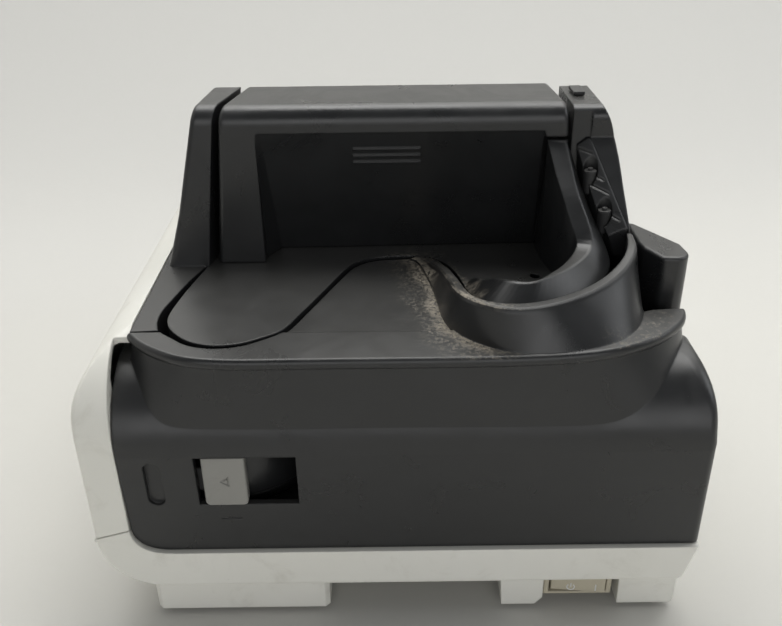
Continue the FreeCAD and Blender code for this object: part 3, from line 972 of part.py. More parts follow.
# motor and its pulley
mot = doc.addObject("PartDesign::Body", "B_motor")
sk = sketch(mot, "S_motor", "XY_Plane")
add_circle(sk, 0.0, 0.0, "Dims.motor_dia", P("motor_dia"), "can")
pad(mot, sk, "P_motor", "Dims.motor_tall")
doc.recompute()
sk = sketch(mot, "S_motor_flange", "XY_Plane")
add_rect(sk, -20.0, -8.0, "Dims.motor_dia + 6", "16", P("motor_dia") + 6, 16.0, "flange")
pad(mot, sk, "P_flange", "2")
doc.recompute()
mot.Placement = FreeCAD.Placement(V(MOTOR[0], MOTOR[1], 58.2), FreeCAD.Rotation())
motor_cut = place(mot, "drive_motor")
turned("motor_pulley", MOTOR[0], MOTOR[1], 48.7, [(PR - 0.4, 0.8), (PR, 3.4), (PR - 0.4, 0.8), (1.5, 4.0)])

# idle pinch rollers in the front cover and in the roller guide
turned("pinch_roller_left", -60.0, 8.25, 69.0, [(0.9, 2.0), (P("pinch_dia") / 2, P("pinch_tall")), (0.9, 2.0)])
turned("pinch_roller_right", 47.4, 11.5, 72.0, [(0.9, 2.0), (P("pinch_dia") / 2, P("pinch_tall")), (0.9, 2.0)])
for i, (gx, gy, gz) in enumerate(GR):
    turned("guide_roller_" + ("front", "rear")[i], gx, gy, gz - 8.5, [(1.0, 4.0), (P("guide_roller_dia") / 2, P("guide_roller_tall")), (1.0, 1.0)])

# platen roller on the roll cover: a shaft with a rubber sleeve and a gear
pl = doc.addObject("PartDesign::Body", "B_platen")
sk = sketch(pl, "S_platen", "YZ_Plane")
add_circle(sk, 0.0, 0.0, "Dims.platen_dia", P("platen_dia"), "rubber")
pad(pl, sk, "P_platen", "Dims.platen_long")
doc.recompute()
pl.Placement = FreeCAD.Placement(V(-42.0, PY, PZ), FreeCAD.Rotation())
place(pl, "platen_roller")
axle_a = p_cyl("axle_a", -52.0, PY, PZ, 3.0, 9.9, V(1, 0, 0))
axle_b = p_cyl("axle_b", 42.1, PY, PZ, 3.0, 9.9, V(1, 0, 0))
gear = p_cyl("gear_blank", 44.0, PY, PZ, 9.6, 3.6, V(1, 0, 0))
place(p_fuse("platen_gear_f", axle_b, gear), "platen_gear")
place(axle_a, "platen_axle")

# chassis plate, track floor and boards
ch = doc.addObject("PartDesign::Body", "B_chassis")
sk = sketch(ch, "S_chassis", "XY_Plane")
add_rect(sk, -102.0, 42.0, "Dims.plate_wide", "Dims.plate_deep", P("plate_wide"), P("plate_deep"), "plate")
pad(ch, sk, "P_chassis", "Dims.plate_thick")
doc.recompute()
cs = sketch(ch, "S_chassis_cut", "XY_Plane", 3.0)
add_rect(cs, -40.0, 236.0, "30", "14", 30.0, 14.0, "notch")
for i, (x, y) in enumerate(PLATE_SCREWS):
    add_circle(cs, x, y, "Dims.screw_dia + 0.3", P("screw_dia") + 0.3, "hole%d" % i)
cp = ch.newObject("PartDesign::Pocket", "Po_chassis")
cp.Profile = cs
cp.Length = 6.0
doc.recompute()
ch.Placement = FreeCAD.Placement(V(0, 0, 46.2), FreeCAD.Rotation())
place(ch, "chassis_plate")

fl = prism([curve(offset_points(SLOT_OUTER, [0.6] * len(SLOT_OUTER), -1))] + lines([offset_points(SLOT_OUTER, [0.6] * len(SLOT_OUTER), -1)[-1], (91.0, 110.0), (-94.6, 110.0), (-94.6, 23.2), offset_points(SLOT_OUTER, [0.6] * len(SLOT_OUTER), -1)[0]]), P("slot_floor") - P("floor_thick"), P("slot_floor"))
fl = fl.common(box(-95, 92, 9.0, 111, 50, 60))
for x, y in ROLLERS + [MOTOR]:
    fl = fl.cut(cyl(x, y, 40, 70, 5.12))
for x, y in ((-84, 90), (84, 95), (-42, 103), (40, 98)):
    fl = fl.fuse(cyl(x, y, 47.9, 56.0, 8.0))
fl = max(fl.Solids, key=lambda s: s.Volume)
feature("track_floor", fl)

bd = doc.addObject("PartDesign::Body", "B_board")
sk = sketch(bd, "S_board", "XY_Plane")
add_rect(sk, -90.0, 150.0, "Dims.board_wide", "Dims.board_deep", P("board_wide"), P("board_deep"), "board")
pad(bd, sk, "P_board", "Dims.board_thick")
doc.recompute()
bd.Placement = FreeCAD.Placement(V(0, 0, 30.0), FreeCAD.Rotation())
place(bd, "main_board")

# sensors, head and cartridge
place(p_box("front_image_sensor_b", -19.0, 44.0, 63.0, "sensor_wide", "sensor_deep", "sensor_tall"), "front_image_sensor")
place(p_box("rear_image_sensor_b", -44.5, 40.0, 63.0, "sensor_wide", "sensor_deep", "sensor_tall"), "rear_image_sensor")
place(p_box("magnetic_head_b", -79.5, 36.0, 64.0, "head_wide", "head_deep", "head_tall"), "magnetic_head")
place(p_box("ink_cartridge_b", -40.0, 100.2, 134.0, "cartridge_wide", "cartridge_deep", "cartridge_tall"), "ink_cartridge")

# receipt printer: frame, thermal head, blade and paper well
frame_u = box(-50.6, 50.6, 126.0, 146.0, 98.0, 99.6).fuse(box(-50.6, -49.4, 118.5, 146.0, 98.0, 162.0)).fuse(box(49.4, 50.6, 118.5, 146.0, 98.0, 162.0))
frame_u = frame_u.fuse(box(-50.6, -46.0, 132.0, 146.0, 61.0, 99.0)).fuse(box(46.0, 50.6, 132.0, 146.0, 61.0, 99.0))
feature("printer_frame", frame_u)
place(p_box("thermal_head_b", -42.0, 112.9, 158.0, "thermal_wide", "thermal_deep", "thermal_tall"), "thermal_head")
place(p_box("cutter_blade_b", -41.0, 113.0, 173.0, "blade_wide", "blade_deep", "blade_thick"), "cutter_blade")
well = box(-45.5, 45.5, 147.0, 234.0, 84.0, 128.0).cut(
    prism_yz([(149.5, 129.0), (149.5, 112.0), (161.0, 96.0), (176.0, 86.2), (205.0, 86.2), (220.0, 96.0), (231.5, 112.0), (231.5, 129.0)], -43.5, 43.5))
feature("paper_well", well)

# sockets in the rear panel's foot
inlet = p_box("inlet_block", -75.0, 262.0, 25.0, "inlet_wide", "inlet_deep", "inlet_tall")
inlet_hole = p_box("inlet_hole", -71.0, 266.0, 28.0, 20.0, 20.0, 13.0)
pins = [p_cyl("inlet_pin%d" % i, -61.0 + dx, 264.5, 34.5 + dz, 2.0, 12.0, V(0, 1, 0)) for i, (dx, dz) in enumerate(((-5.5, 0), (0, 2.6), (5.5, 0)))]
place(p_fuse("power_inlet_f", p_cut("inlet_c", inlet, inlet_hole), *pins), "power_inlet")
data = p_box("data_block", -29.5, 264.0, 25.0, "data_wide", "data_deep", "data_tall")
data_hole = p_box("data_hole", -26.5, 268.0, 27.5, 7.5, 20.0, 7.5)
data_tongue = p_box("data_tongue", -25.0, 266.0, 29.8, 4.5, 10.0, 2.6)
place(p_fuse("data_port_f", p_cut("data_c", data, data_hole), data_tongue), "data_port")
dr = p_box("drawer_block", 10.5, 264.0, 25.0, "drawer_wide", "drawer_deep", "drawer_tall")
dr_hole = p_box("drawer_hole", 12.2, 268.0, 27.0, 9.6, 20.0, 7.0)
place(p_cut("drawer_c", dr, dr_hole), "drawer_port")

# hinge pins
place(p_cyl("hinge_pin_c", HX, HY, 48.0, "hinge_pin_dia", "hinge_pin_len"), "cover_hinge_pin")
place(p_cyl("lid_pin_c", -P("lid_pin_len") / 2 + 0.0, LY, LZ, "lid_pin_dia", "lid_pin_len", V(1, 0, 0)), "roll_cover_pin")
# hinge bracket that carries the cover's pin at its lower end and its top
br = box(98.0, 113.0, 41.2, 60.0, 47.9, 50.6).fuse(box(98.0, 113.0, 51.5, 60.0, 47.9, 111.4)).fuse(box(100.0, 113.0, 40.0, 60.0, 105.6, 111.4))
br = br.cut(cyl(HX, HY, 30, 130, P("hinge_pin_dia") + 0.02))
br = br.common(cyl(HX, HY, 40, 120, 20.4).fuse(box(90, 112.6, 51.5, 60, 40, 120)))
feature("hinge_bracket", max(br.Solids, key=lambda s: s.Volume))

# release lever in the right tower's top
lev = p_box("lever_stem", 75.4, 96.5, 184.0, 2.2, 6.0, 5.2)
lev_top = p_box("lever_top", 74.6, 95.2, 189.1, "lever_wide", "lever_deep", 1.3)
place(p_fuse("release_lever_f", lev, lev_top), "release_lever")

# the pusher plate in the document hopper
place(p_box("hopper_pusher_b", -83.2, 168.0, 64.0, "pusher_thick", "pusher_long", "pusher_tall"), "hopper_pusher")

# latch spring: a folded strip of spring steel beside the knob
fold = [(-34.0 + P("spring_pitch") * i, 6.6 + (P("spring_deep") if i % 2 else 0.0)) for i in range(7)]
half = [P("spring_thick") / 2.0] * len(fold)
spring = prism_xy(offset_points(fold, half, 1) + offset_points(fold, half, -1)[::-1], 52.0, 52.0 + P("spring_tall"))
feature("latch_spring", spring)

# rubber feet pads and screws, each kind one group of equal pieces
pads = [p_cyl("pad%d" % i, x, y, 0.0, "pad_dia", "pad_thick") for i, (x, y) in enumerate(((-84, 22), (-40, 22), (102, 24), (-84, 256), (84, 256)))]
place(p_fuse("rubber_feet_f", *pads), "rubber_feet")
scr = []
for i, (x, y) in enumerate(PLATE_SCREWS):
    scr.append(p_fuse("screw_f%d" % i, p_cyl("screw_h%d" % i, x, y, 47.9, "screw_head_dia", "screw_head_tall"), p_cyl("screw_s%d" % i, x, y, 46.4, "screw_dia", 2.0)))
place(p_fuse("chassis_screws_f", *scr), "chassis_screws")
scr = []
for i, (x, z) in enumerate(((-104, 100), (104, 100), (0, 100), (104, 52))):
    scr.append(p_cyl("rear_screw%d" % i, x, 280.85, z, "screw_head_dia", "screw_head_tall", V(0, 1, 0)))
place(p_fuse("rear_screws_f", *scr), "rear_panel_screws")

# ------------------------------------------------------------------- write out
doc.recompute()
bad = []
for obj in doc.Objects:
    if any(s in ("Invalid", "Error") for s in obj.State):
        bad.append((obj.Name, obj.State))
for obj in NODES:
    if obj.Shape.isNull() or not obj.Shape.isValid() or not obj.Shape.Solids:
        bad.append((obj.Label, "shape"))
if bad:
    raise RuntimeError("failed pieces: %r" % bad)
os.makedirs("parts", exist_ok=True)
for obj in NODES:
    b = obj.Shape.BoundBox
    print("%-24s %2d solids %9.0f mm3  x %7.1f %7.1f  y %7.1f %7.1f  z %6.1f %6.1f" % (
        obj.Label, len(obj.Shape.Solids), obj.Shape.Volume, b.XMin, b.XMax, b.YMin, b.YMax, b.ZMin, b.ZMax))
    obj.Shape.exportStep("parts/%s.step" % obj.Label)
print(len(NODES), "nodes")
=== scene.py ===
import json
import math

import bmesh
import bpy
from mathutils import Euler, Matrix, Vector


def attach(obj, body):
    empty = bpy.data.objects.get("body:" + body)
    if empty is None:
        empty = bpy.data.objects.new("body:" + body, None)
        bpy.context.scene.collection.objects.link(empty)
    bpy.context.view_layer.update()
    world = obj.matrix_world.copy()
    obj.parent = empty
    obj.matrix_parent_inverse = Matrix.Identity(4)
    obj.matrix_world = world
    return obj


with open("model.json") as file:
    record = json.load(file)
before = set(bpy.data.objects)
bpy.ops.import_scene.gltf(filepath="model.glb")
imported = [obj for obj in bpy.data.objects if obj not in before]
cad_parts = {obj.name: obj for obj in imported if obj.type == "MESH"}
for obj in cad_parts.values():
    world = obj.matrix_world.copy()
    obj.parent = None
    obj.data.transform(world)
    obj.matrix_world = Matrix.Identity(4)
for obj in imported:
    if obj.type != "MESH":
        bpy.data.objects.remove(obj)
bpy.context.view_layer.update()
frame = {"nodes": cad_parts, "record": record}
NODES = frame["nodes"]
scene = bpy.context.scene

# the drawing measures x from its own centre line and y back from the front face, in millimetres
OX, OY = -2.0, -141.5


def mm(x, y, z=0.0):
    return Vector(((x + OX) / 1000.0, (y + OY) / 1000.0, z / 1000.0))


# ---------------------------------------------------------------- camera
cam_data = bpy.data.cameras.new("camera")
cam_data.sensor_fit = "HORIZONTAL"
cam_data.sensor_width = 36.0
cam_data.lens = 36.0 * 860.0 / 782.0
cam_data.clip_start = 0.01
cam_data.clip_end = 50.0
camera = bpy.data.objects.new("camera", cam_data)
scene.collection.objects.link(camera)
camera.matrix_world = (Matrix.Translation(Vector((-0.002, -0.3915, 0.278)))
                       @ Matrix.Rotation(math.radians(61.5), 4, "X")
                       @ Matrix.Rotation(math.radians(-0.74), 4, "Z"))
scene.camera = camera
scene.view_settings.view_transform = "Standard"
scene.view_settings.look = "None"
scene.view_settings.exposure = 0.0
scene.view_settings.gamma = 1.0


# ---------------------------------------------------------------- node helpers
class Shader:
    """A Principled material with short helpers for its node tree."""

    def __init__(self, name, colour, roughness, ior=1.47, metallic=0.0):
        self.mat = bpy.data.materials.new(name)
        self.mat.use_nodes = True
        self.tree = self.mat.node_tree
        self.tree.nodes.clear()
        self.out = self.new("ShaderNodeOutputMaterial")
        self.bsdf = self.new("ShaderNodeBsdfPrincipled")
        self.join(self.bsdf.outputs["BSDF"], self.out.inputs["Surface"])
        self.bsdf.inputs["Base Color"].default_value = (*colour, 1.0)
        self.bsdf.inputs["Roughness"].default_value = roughness
        self.bsdf.inputs["IOR"].default_value = ior
        self.bsdf.inputs["Metallic"].default_value = metallic
        self.mat.diffuse_color = (*colour, 1.0)
        self.coord = self.new("ShaderNodeTexCoord")
        self.place = self.coord.outputs["Object"]
        self.normal = self.coord.outputs["Normal"]

    def new(self, kind):
        return self.tree.nodes.new(kind)

    def join(self, a, b):
        self.tree.links.new(a, b)

    def put(self, socket, value):
        if isinstance(value, bpy.types.NodeSocket):
            self.join(value, socket)
        elif isinstance(value, (tuple, list)) and len(value) == 3 and len(socket.default_value) == 4:
            socket.default_value = (*value, 1.0)
        else:
            socket.default_value = value

    def noise(self, scale, detail=3.0, roughness=0.5, distortion=0.0, stretch=None, seed=0.0):
        at = self.place
        if stretch or seed:
            mapping = self.new("ShaderNodeMapping")
            self.join(at, mapping.inputs["Vector"])
            mapping.inputs["Scale"].default_value = stretch or (1, 1, 1)
            mapping.inputs["Location"].default_value = (seed, seed * 0.7, -seed * 1.3)
            at = mapping.outputs["Vector"]
        node = self.new("ShaderNodeTexNoise")
        self.join(at, node.inputs["Vector"])
        node.inputs["Scale"].default_value = scale
        node.inputs["Detail"].default_value = detail
        node.inputs["Roughness"].default_value = roughness
        node.inputs["Distortion"].default_value = distortion
        return node.outputs["Fac"]

    def cells(self, scale, seed=0.0, feature="F1"):
        mapping = self.new("ShaderNodeMapping")
        self.join(self.place, mapping.inputs["Vector"])
        mapping.inputs["Location"].default_value = (seed, seed * 0.7, -seed * 1.3)
        node = self.new("ShaderNodeTexVoronoi")
        node.feature = feature
        self.join(mapping.outputs["Vector"], node.inputs["Vector"])
        node.inputs["Scale"].default_value = scale
        return node

    def span(self, value, lo, hi, a=0.0, b=1.0, smooth=True):
        node = self.new("ShaderNodeMapRange")
        node.clamp = True
        node.interpolation_type = "SMOOTHSTEP" if smooth else "LINEAR"
        self.put(node.inputs["Value"], value)
        node.inputs["From Min"].default_value = lo
        node.inputs["From Max"].default_value = hi
        node.inputs["To Min"].default_value = a
        node.inputs["To Max"].default_value = b
        return node.outputs["Result"]

    def math(self, op, a, b=0.0, clamp=False):
        node = self.new("ShaderNodeMath")
        node.operation = op
        node.use_clamp = clamp
        self.put(node.inputs[0], a)
        self.put(node.inputs[1], b)
        return node.outputs[0]

    def times(self, *values):
        result = values[0]
        for v in values[1:]:
            result = self.math("MULTIPLY", result, v)
        return result

    def mix(self, fac, a, b):
        node = self.new("ShaderNodeMix")
        node.data_type = "RGBA"
        self.put(node.inputs["Factor"], fac)
        self.put(node.inputs[6], a)
        self.put(node.inputs[7], b)
        return node.outputs[2]

    def axis(self, socket, index):
        node = self.new("ShaderNodeSeparateXYZ")
        self.join(socket, node.inputs["Vector"])
        return node.outputs[index]

    def vec(self, op, a, b=None, out="Vector", scale=None):
        node = self.new("ShaderNodeVectorMath")
        node.operation = op
        self.put(node.inputs[0], a)
        if b is not None:
            self.put(node.inputs[1], b)
        if scale is not None:
            self.put(node.inputs["Scale"], scale)
        return node.outputs[out]

    def line_distance(self, points):
        """Distance in plan, in metres, from the surface to a run of points."""
        here = self.vec("MULTIPLY", self.place, (1.0, 1.0, 0.0))
        best = None
        for a, b in zip(points, points[1:]):
            a, b = Vector((a.x, a.y, 0)), Vector((b.x, b.y, 0))
            d = b - a
            pa = self.vec("SUBTRACT", here, tuple(a))
            h = self.vec("DOT_PRODUCT", pa, tuple(d / d.length_squared), out="Value")
            h = self.math("ADD", h, 0.0, clamp=True)
            on = self.vec("SCALE", tuple(d), scale=h)
            r = self.vec("LENGTH", self.vec("SUBTRACT", pa, on), out="Value")
            best = r if best is None else self.math("MINIMUM", best, r)
        return best

    def bump(self, height, strength, distance, under=None):
        node = self.new("ShaderNodeBump")
        self.join(height, node.inputs["Height"])
        node.inputs["Strength"].default_value = strength
        node.inputs["Distance"].default_value = distance
        if under is not None:
            self.join(under, node.inputs["Normal"])
        return node.outputs["Normal"]

    def edge(self, radius):
        node = self.new("ShaderNodeBevel")
        node.samples = 4
        node.inputs["Radius"].default_value = radius
        return node.outputs["Normal"]

    def colour(self, value):
        self.put(self.bsdf.inputs["Base Color"], value)

    def roughness(self, value):
        self.put(self.bsdf.inputs["Roughness"], value)

    def finish_normal(self, normal):
        self.join(normal, self.bsdf.inputs["Normal"])


# ---------------------------------------------------------------- materials
FOOT = [mm(*p) for p in [(8.6, 81.5), (12.6, 72.5), (15.2, 60.0), (17.0, 46.0), (18.4, 34.0), (21.0, 23.5), (26.5, 13.8), (34.0, 7.8)]]
SLOT = [mm(*p) for p in [(24.5, 76.5), (27.6, 66.0), (29.6, 55.0), (30.8, 44.0), (31.8, 33.0)]]
LEDGE = [mm(*p) for p in [(82.0, 8.0), (91.5, 16.0), (98.5, 27.0)]]


def black_plastic(name, base, rough, dusty=False, grain=0.08):
    s = Shader(name, base, rough, ior=1.54)
    up = s.axis(s.normal, 2)
    level = s.span(up, 0.45, 0.95)
    cloud = s.noise(14.0, 4.0, 0.55, 0.4)
    rub = s.noise(46.0, 5.0, 0.62, 1.1, seed=3.1)
    film = s.times(s.span(cloud, 0.40, 0.72), s.span(up, -0.2, 0.9, 0.25, 1.0))
    specks = s.math("SUBTRACT", 1.0, s.span(s.cells(340.0, 1.7).outputs["Distance"], 0.045, 0.105), clamp=True)
    sparse = s.span(s.noise(90.0, 2.0, 0.5, 0.0, seed=8.3), 0.57, 0.66)
    specks = s.times(specks, sparse, s.span(up, 0.1, 0.9, 0.10, 1.0))
    lint = s.times(s.span(s.noise(420.0, 3.0, 0.7, 0.3, seed=5.5), 0.60, 0.72), level, 0.35)
    tint = s.mix(s.span(rub, 0.35, 0.7, 0.0, 0.35), base, tuple(c * 1.45 + 0.0015 for c in base))
    tint = s.mix(s.times(film, 0.07), tint, (0.075, 0.073, 0.068))
    # up-facing tops lighter: partly settled dust, partly a painted sheen standing in for light falling from above
    tint = s.mix(s.times(s.span(up, 0.80, 1.0), s.span(cloud, 0.2, 0.8, 0.34, 0.52)), tint, (0.085, 0.084, 0.079))
    tint = s.mix(s.times(specks, 0.22), tint, (0.24, 0.22, 0.20))
    tint = s.mix(s.times(lint, 0.14), tint, (0.24, 0.22, 0.19))
    dirt = None
    if dusty:
        fleck = s.noise(620.0, 4.0, 0.70, 0.0, seed=2.2)
        patch = s.noise(75.0, 4.0, 0.6, 0.2, seed=6.4)
        foot = s.line_distance(FOOT)
        near = s.span(s.math("ADD", foot, s.times(s.math("SUBTRACT", patch, 0.5), 0.010)), 0.0008, 0.0056, 1.0, 0.0)
        wide = s.span(s.math("ADD", foot, s.times(s.math("SUBTRACT", patch, 0.5), 0.030)), 0.002, 0.016, 1.0, 0.0)
        slot = s.line_distance(SLOT)
        island = s.span(s.math("ADD", slot, s.times(s.math("SUBTRACT", patch, 0.5), 0.014)), 0.0002, 0.0032, 1.0, 0.0)
        ledge = s.span(s.math("ADD", s.line_distance(LEDGE), s.times(s.math("SUBTRACT", patch, 0.5), 0.014)), 0.001, 0.0085, 1.0, 0.0)
        a = s.times(near, s.span(fleck, 0.34, 0.58), 0.95)
        b = s.times(wide, s.span(fleck, 0.46, 0.66), 0.50)
        c = s.times(island, s.span(fleck, 0.40, 0.66), 0.70)
        d = s.times(ledge, s.span(fleck, 0.48, 0.68), 0.38)
        dirt = s.math("MAXIMUM", s.math("MAXIMUM", a, b), s.math("MAXIMUM", c, d))
        dirt = s.times(dirt, s.span(up, 0.35, 0.85), s.span(s.axis(s.place, 2), 0.146, 0.152, 1.0, 0.0))
        tint = s.mix(dirt, tint, (0.290, 0.258, 0.205))
    s.colour(tint)
    r = s.math("ADD", rough - 0.05, s.span(rub, 0.25, 0.75, 0.0, 0.10))
    r = s.math("ADD", r, s.times(film, 0.12))
    r = s.math("ADD", r, s.times(specks, 0.06))
    if dirt is not None:
        r = s.math("ADD", r, s.times(dirt, 0.5))
    s.roughness(s.math("MINIMUM", r, 0.95))
    edge = s.edge(0.0010)
    n = s.bump(s.noise(1500.0, 2.0, 0.5), grain, 0.00008, edge)
    n = s.bump(s.noise(24.0, 2.0, 0.4, seed=1.3), 0.03, 0.0010, n)
    if dirt is not None:
        n = s.bump(dirt, 0.4, 0.00025, n)
    s.finish_normal(n)
    return s.mat


def pale_plastic(name, base, rough, dirt=(0.40, 0.37, 0.30), amount=0.25):
    s = Shader(name, base, rough, ior=1.46)
    up = s.axis(s.normal, 2)
    cloud = s.noise(9.0, 4.0, 0.55, 0.5, seed=0.4)
    stain = s.noise(38.0, 5.0, 0.65, 0.9, seed=4.4)
    specks = s.math("SUBTRACT", 1.0, s.span(s.cells(230.0, 2.9).outputs["Distance"], 0.03, 0.085), clamp=True)
    specks = s.times(specks, s.span(s.noise(70.0, 2.0, 0.5, 0.0, seed=9.1), 0.60, 0.68))
    scuff = s.times(s.span(s.noise(60.0, 6.0, 0.75, 0.2, stretch=(1.0, 1.0, 9.0), seed=7.7), 0.60, 0.70), 0.5)
    tint = s.mix(s.span(cloud, 0.3, 0.7, 0.0, 0.5), base, tuple(c * k for c, k in zip(base, (0.95, 0.945, 0.92))))
    tint = s.mix(s.times(s.span(stain, 0.52, 0.75), amount), tint, dirt)
    tint = s.mix(s.times(specks, 0.35), tint, (0.20, 0.18, 0.15))
    tint = s.mix(s.times(scuff, 0.10), tint, (0.30, 0.29, 0.27))
    s.colour(tint)
    s.roughness(s.math("ADD", rough - 0.04, s.span(stain, 0.3, 0.7, 0.0, 0.10)))
    edge = s.edge(0.0010)
    n = s.bump(s.noise(1400.0, 2.0, 0.5), 0.12, 0.00012, edge)
    n = s.bump(s.noise(20.0, 2.0, 0.4), 0.05, 0.001, n)
    s.finish_normal(n)
    return s.mat


def rubber(name, base=(0.018, 0.018, 0.019)):
    s = Shader(name, base, 0.62, ior=1.5)
    wear = s.noise(180.0, 5.0, 0.65)
    s.colour(s.mix(s.span(wear, 0.4, 0.7, 0.0, 0.6), base, tuple(c * 2.2 + 0.01 for c in base)))
    s.roughness(s.span(wear, 0.3, 0.7, 0.52, 0.78))
    s.finish_normal(s.bump(s.noise(900.0, 3.0, 0.6), 0.3, 0.0002, s.edge(0.0003)))
    return s.mat


def steel(name, base=(0.50, 0.50, 0.51), rough=0.30):
    s = Shader(name, base, rough, metallic=1.0)
    draw = s.noise(220.0, 4.0, 0.6, stretch=(1.0, 12.0, 12.0))
    spot = s.noise(60.0, 4.0, 0.6, 0.5, seed=2.0)
    s.colour(s.mix(s.span(spot, 0.45, 0.75, 0.0, 0.5), base, tuple(c * 0.72 for c in base)))
    s.roughness(s.math("ADD", s.span(draw, 0.3, 0.7, rough - 0.08, rough + 0.10), s.times(s.span(spot, 0.5, 0.8), 0.1)))
    s.finish_normal(s.bump(draw, 0.10, 0.0001, s.edge(0.0003)))
    return s.mat


def board(name):
    s = Shader(name, (0.012, 0.11, 0.05), 0.35)
    lines = s.noise(150.0, 2.0, 0.5, 0.0, stretch=(1.0, 6.0, 1.0))
    s.colour(s.mix(s.span(lines, 0.48, 0.54), (0.012, 0.11, 0.05), (0.03, 0.17, 0.08)))
    s.roughness(s.span(lines, 0.4, 0.6, 0.28, 0.45))
    s.finish_normal(s.bump(lines, 0.15, 0.0001))
    return s.mat


BLACK = (0.0125, 0.0130, 0.0136)
MATS = {
    "black_plastic": black_plastic("black_plastic_fine", BLACK, 0.30, dusty=True),
    "dark_plastic": black_plastic("dark_plastic_matte", (0.0100, 0.0102, 0.0106), 0.48),
    "cream_plastic": pale_plastic("cream_plastic_satin", (0.790, 0.783, 0.730), 0.42),
    "grey_plastic": pale_plastic("grey_plastic_satin", (0.270, 0.266, 0.248), 0.40, (0.12, 0.11, 0.09), 0.2),
    "taupe_plastic": pale_plastic("taupe_plastic_satin", (0.530, 0.488, 0.384), 0.38, (0.2, 0.18, 0.13), 0.2),
    "white_plastic": pale_plastic("white_plastic_satin", (0.70, 0.69, 0.64), 0.38),
    "rubber": rubber("rubber_dark"),
    "steel": steel("steel_zinc"),
    "board_green": board("board_solder_mask"),
}
GUIDE = black_plastic("guide_plastic_worn", (0.0150, 0.0155, 0.0160), 0.28)
PRINT = pale_plastic("marking_ink", (0.92, 0.92, 0.90), 0.5, (0.6, 0.6, 0.55), 0.1)

PLASTIC_OF = {"roller_guide": GUIDE, "guide_roller_front": MATS["dark_plastic"], "guide_roller_rear": MATS["dark_plastic"]}
slot_of = {}
for part in frame["record"].get("subparts", []):
    slot_of[part.get("node")] = part.get("material_slot")
for name, obj in NODES.items():
    mat = PLASTIC_OF.get(name) or MATS[slot_of.get(name) or "black_plastic"]
    if not obj.material_slots:
        obj.data.materials.append(mat)
    for k in range(len(obj.material_slots)):
        obj.material_slots[k].material = mat


# ---------------------------------------------------------------- markings
def marking(name, outlines, body):
    """Thin raised shapes on a face: every outline is a list of (x, z, y on the face)."""
    bm = bmesh.new()
    for ring in outlines:
        front = [bm.verts.new(mm(x, y - 0.10, z)) for x, z, y in ring]
        back = [bm.verts.new(mm(x, y + 0.20, z)) for x, z, y in ring]
        half = len(ring) // 2
        for k in range(half - 1):
            a, b, c, d = k, k + 1, len(ring) - 2 - k, len(ring) - 1 - k
            bm.faces.new((front[a], front[b], front[c], front[d]))
            bm.faces.new((back[d], back[c], back[b], back[a]))
        for k in range(len(ring)):
            n = (k + 1) % len(ring)
            bm.faces.new((front[n], front[k], back[k], back[n]))
    bmesh.ops.recalc_face_normals(bm, faces=bm.faces)
    mesh = bpy.data.meshes.new(name)
    bm.to_mesh(mesh)
    bm.free()
    obj = bpy.data.objects.new(name, mesh)
    scene.collection.objects.link(obj)
    obj.data.materials.append(PRINT)
    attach(obj, body)
    return obj


def rocker_face(x):
    return 6.8 - 0.1019 * (x - 64.2) if x < 75.0 else 5.7 - 0.1296 * (x - 75.0)


def on_face(points):
    return [(x, z, rocker_face(x)) for x, z in points]


CX, CZ = 72.2, 10.2
arc = [math.radians(38.0 + 284.0 * k / 28) for k in range(29)]
outer_arc = [(CX + 1.78 * math.sin(t), CZ + 1.78 * math.cos(t)) for t in arc]
inner_arc = [(CX + 1.22 * math.sin(t), CZ + 1.22 * math.cos(t)) for t in arc]
stem = [(CX - 0.27, CZ + 0.10), (CX - 0.27, CZ + 2.0), (CX + 0.27, CZ + 2.0), (CX + 0.27, CZ + 0.10)]
marking("mark_power", [on_face(outer_arc + inner_arc[::-1]), on_face(stem)], "rocker")
line = [(81.8, 8.9), (81.8, 12.4), (82.35, 12.4), (82.35, 8.9)]
marking("mark_on", [on_face(line)], "rocker")


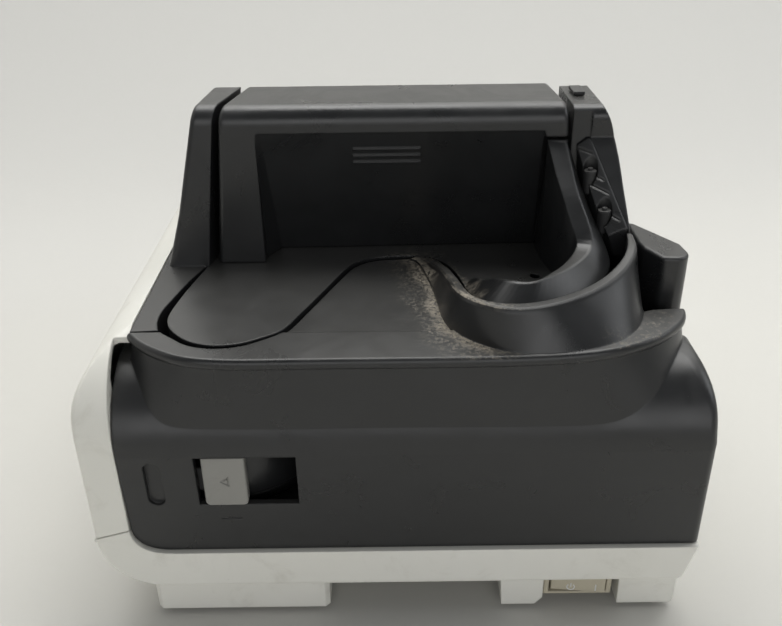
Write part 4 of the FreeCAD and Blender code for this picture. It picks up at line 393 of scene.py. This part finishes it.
# ---------------------------------------------------------------- studio
def sweep():
    """Seamless paper: a floor that curves up into a wall."""
    profile = [(-4.0, 0.0), (-1.0, 0.0), (0.0, 0.0), (0.30, 0.0)]
    r = 0.50
    for k in range(1, 25):
        t = math.radians(90.0) * k / 24
        profile.append((0.30 + r * math.sin(t), r - r * math.cos(t)))
    profile.append((0.30 + r, 3.2))
    bm = bmesh.new()
    xs = [-4.0, -2.0, -1.0, 0.0, 1.0, 2.0, 4.0]
    grid = [[bm.verts.new((x, y, z)) for x in xs] for y, z in profile]
    for a, b in zip(grid, grid[1:]):
        for k in range(len(xs) - 1):
            bm.faces.new((a[k], a[k + 1], b[k + 1], b[k]))
    for f in bm.faces:
        f.smooth = True
    mesh = bpy.data.meshes.new("studio_sweep")
    bm.to_mesh(mesh)
    bm.free()
    obj = bpy.data.objects.new("studio_sweep", mesh)
    scene.collection.objects.link(obj)
    s = Shader("paper_backdrop", (0.80, 0.797, 0.775), 0.85, ior=1.4)
    fibre = s.noise(300.0, 4.0, 0.6)
    drift = s.noise(2.2, 3.0, 0.5, seed=1.0)
    paper = s.mix(s.span(drift, 0.3, 0.7), (0.585, 0.577, 0.543), (0.572, 0.565, 0.538))
    # paper darker from just behind the object back and up the wall: painted shade for the wall getting less light
    s.colour(s.mix(s.span(s.axis(s.place, 1), -0.02, 0.55), paper, (0.480, 0.476, 0.456)))
    s.roughness(s.span(fibre, 0.3, 0.7, 0.8, 0.95))
    s.finish_normal(s.bump(fibre, 0.08, 0.0005))
    obj.data.materials.append(s.mat)
    return obj


sweep()


def area_light(name, place, aim, size, power, colour):
    data = bpy.data.lights.new(name, "AREA")
    data.shape = "RECTANGLE"
    data.size, data.size_y = size
    data.energy = power
    data.color = colour
    obj = bpy.data.objects.new(name, data)
    scene.collection.objects.link(obj)
    obj.location = place
    direction = Vector(aim) - Vector(place)
    obj.rotation_euler = direction.to_track_quat("-Z", "Y").to_euler()
    return obj


area_light("light_top", (0.05, 0.38, 1.70), (0.0, 0.12, 0.0), (1.9, 0.74), 25.0, (1.0, 0.995, 0.98))
area_light("light_left", (-1.9, -0.1, 1.0), (0.0, 0.1, 0.1), (1.2, 1.4), 3.4, (1.0, 0.98, 0.93))
area_light("light_right", (1.9, 0.0, 1.1), (0.0, 0.1, 0.1), (1.0, 1.2), 8.0, (0.96, 0.98, 1.0))

area_light("light_front", (0.2, -2.6, 0.75), (0.0, 0.0, 0.10), (4.0, 1.2), 24.0, (1.0, 1.0, 1.0))
area_light("light_back", (0.0, 0.77, 0.80), (0.0, -0.05, 0.17), (2.4, 1.1), 14.0, (1.0, 1.0, 0.99))

world = bpy.data.worlds.new("studio_world")
scene.world = world
world.use_nodes = True
background = next(n for n in world.node_tree.nodes if n.type == "BACKGROUND")
background.inputs["Color"].default_value = (0.93, 0.96, 1.0, 1.0)
background.inputs["Strength"].default_value = 0.14
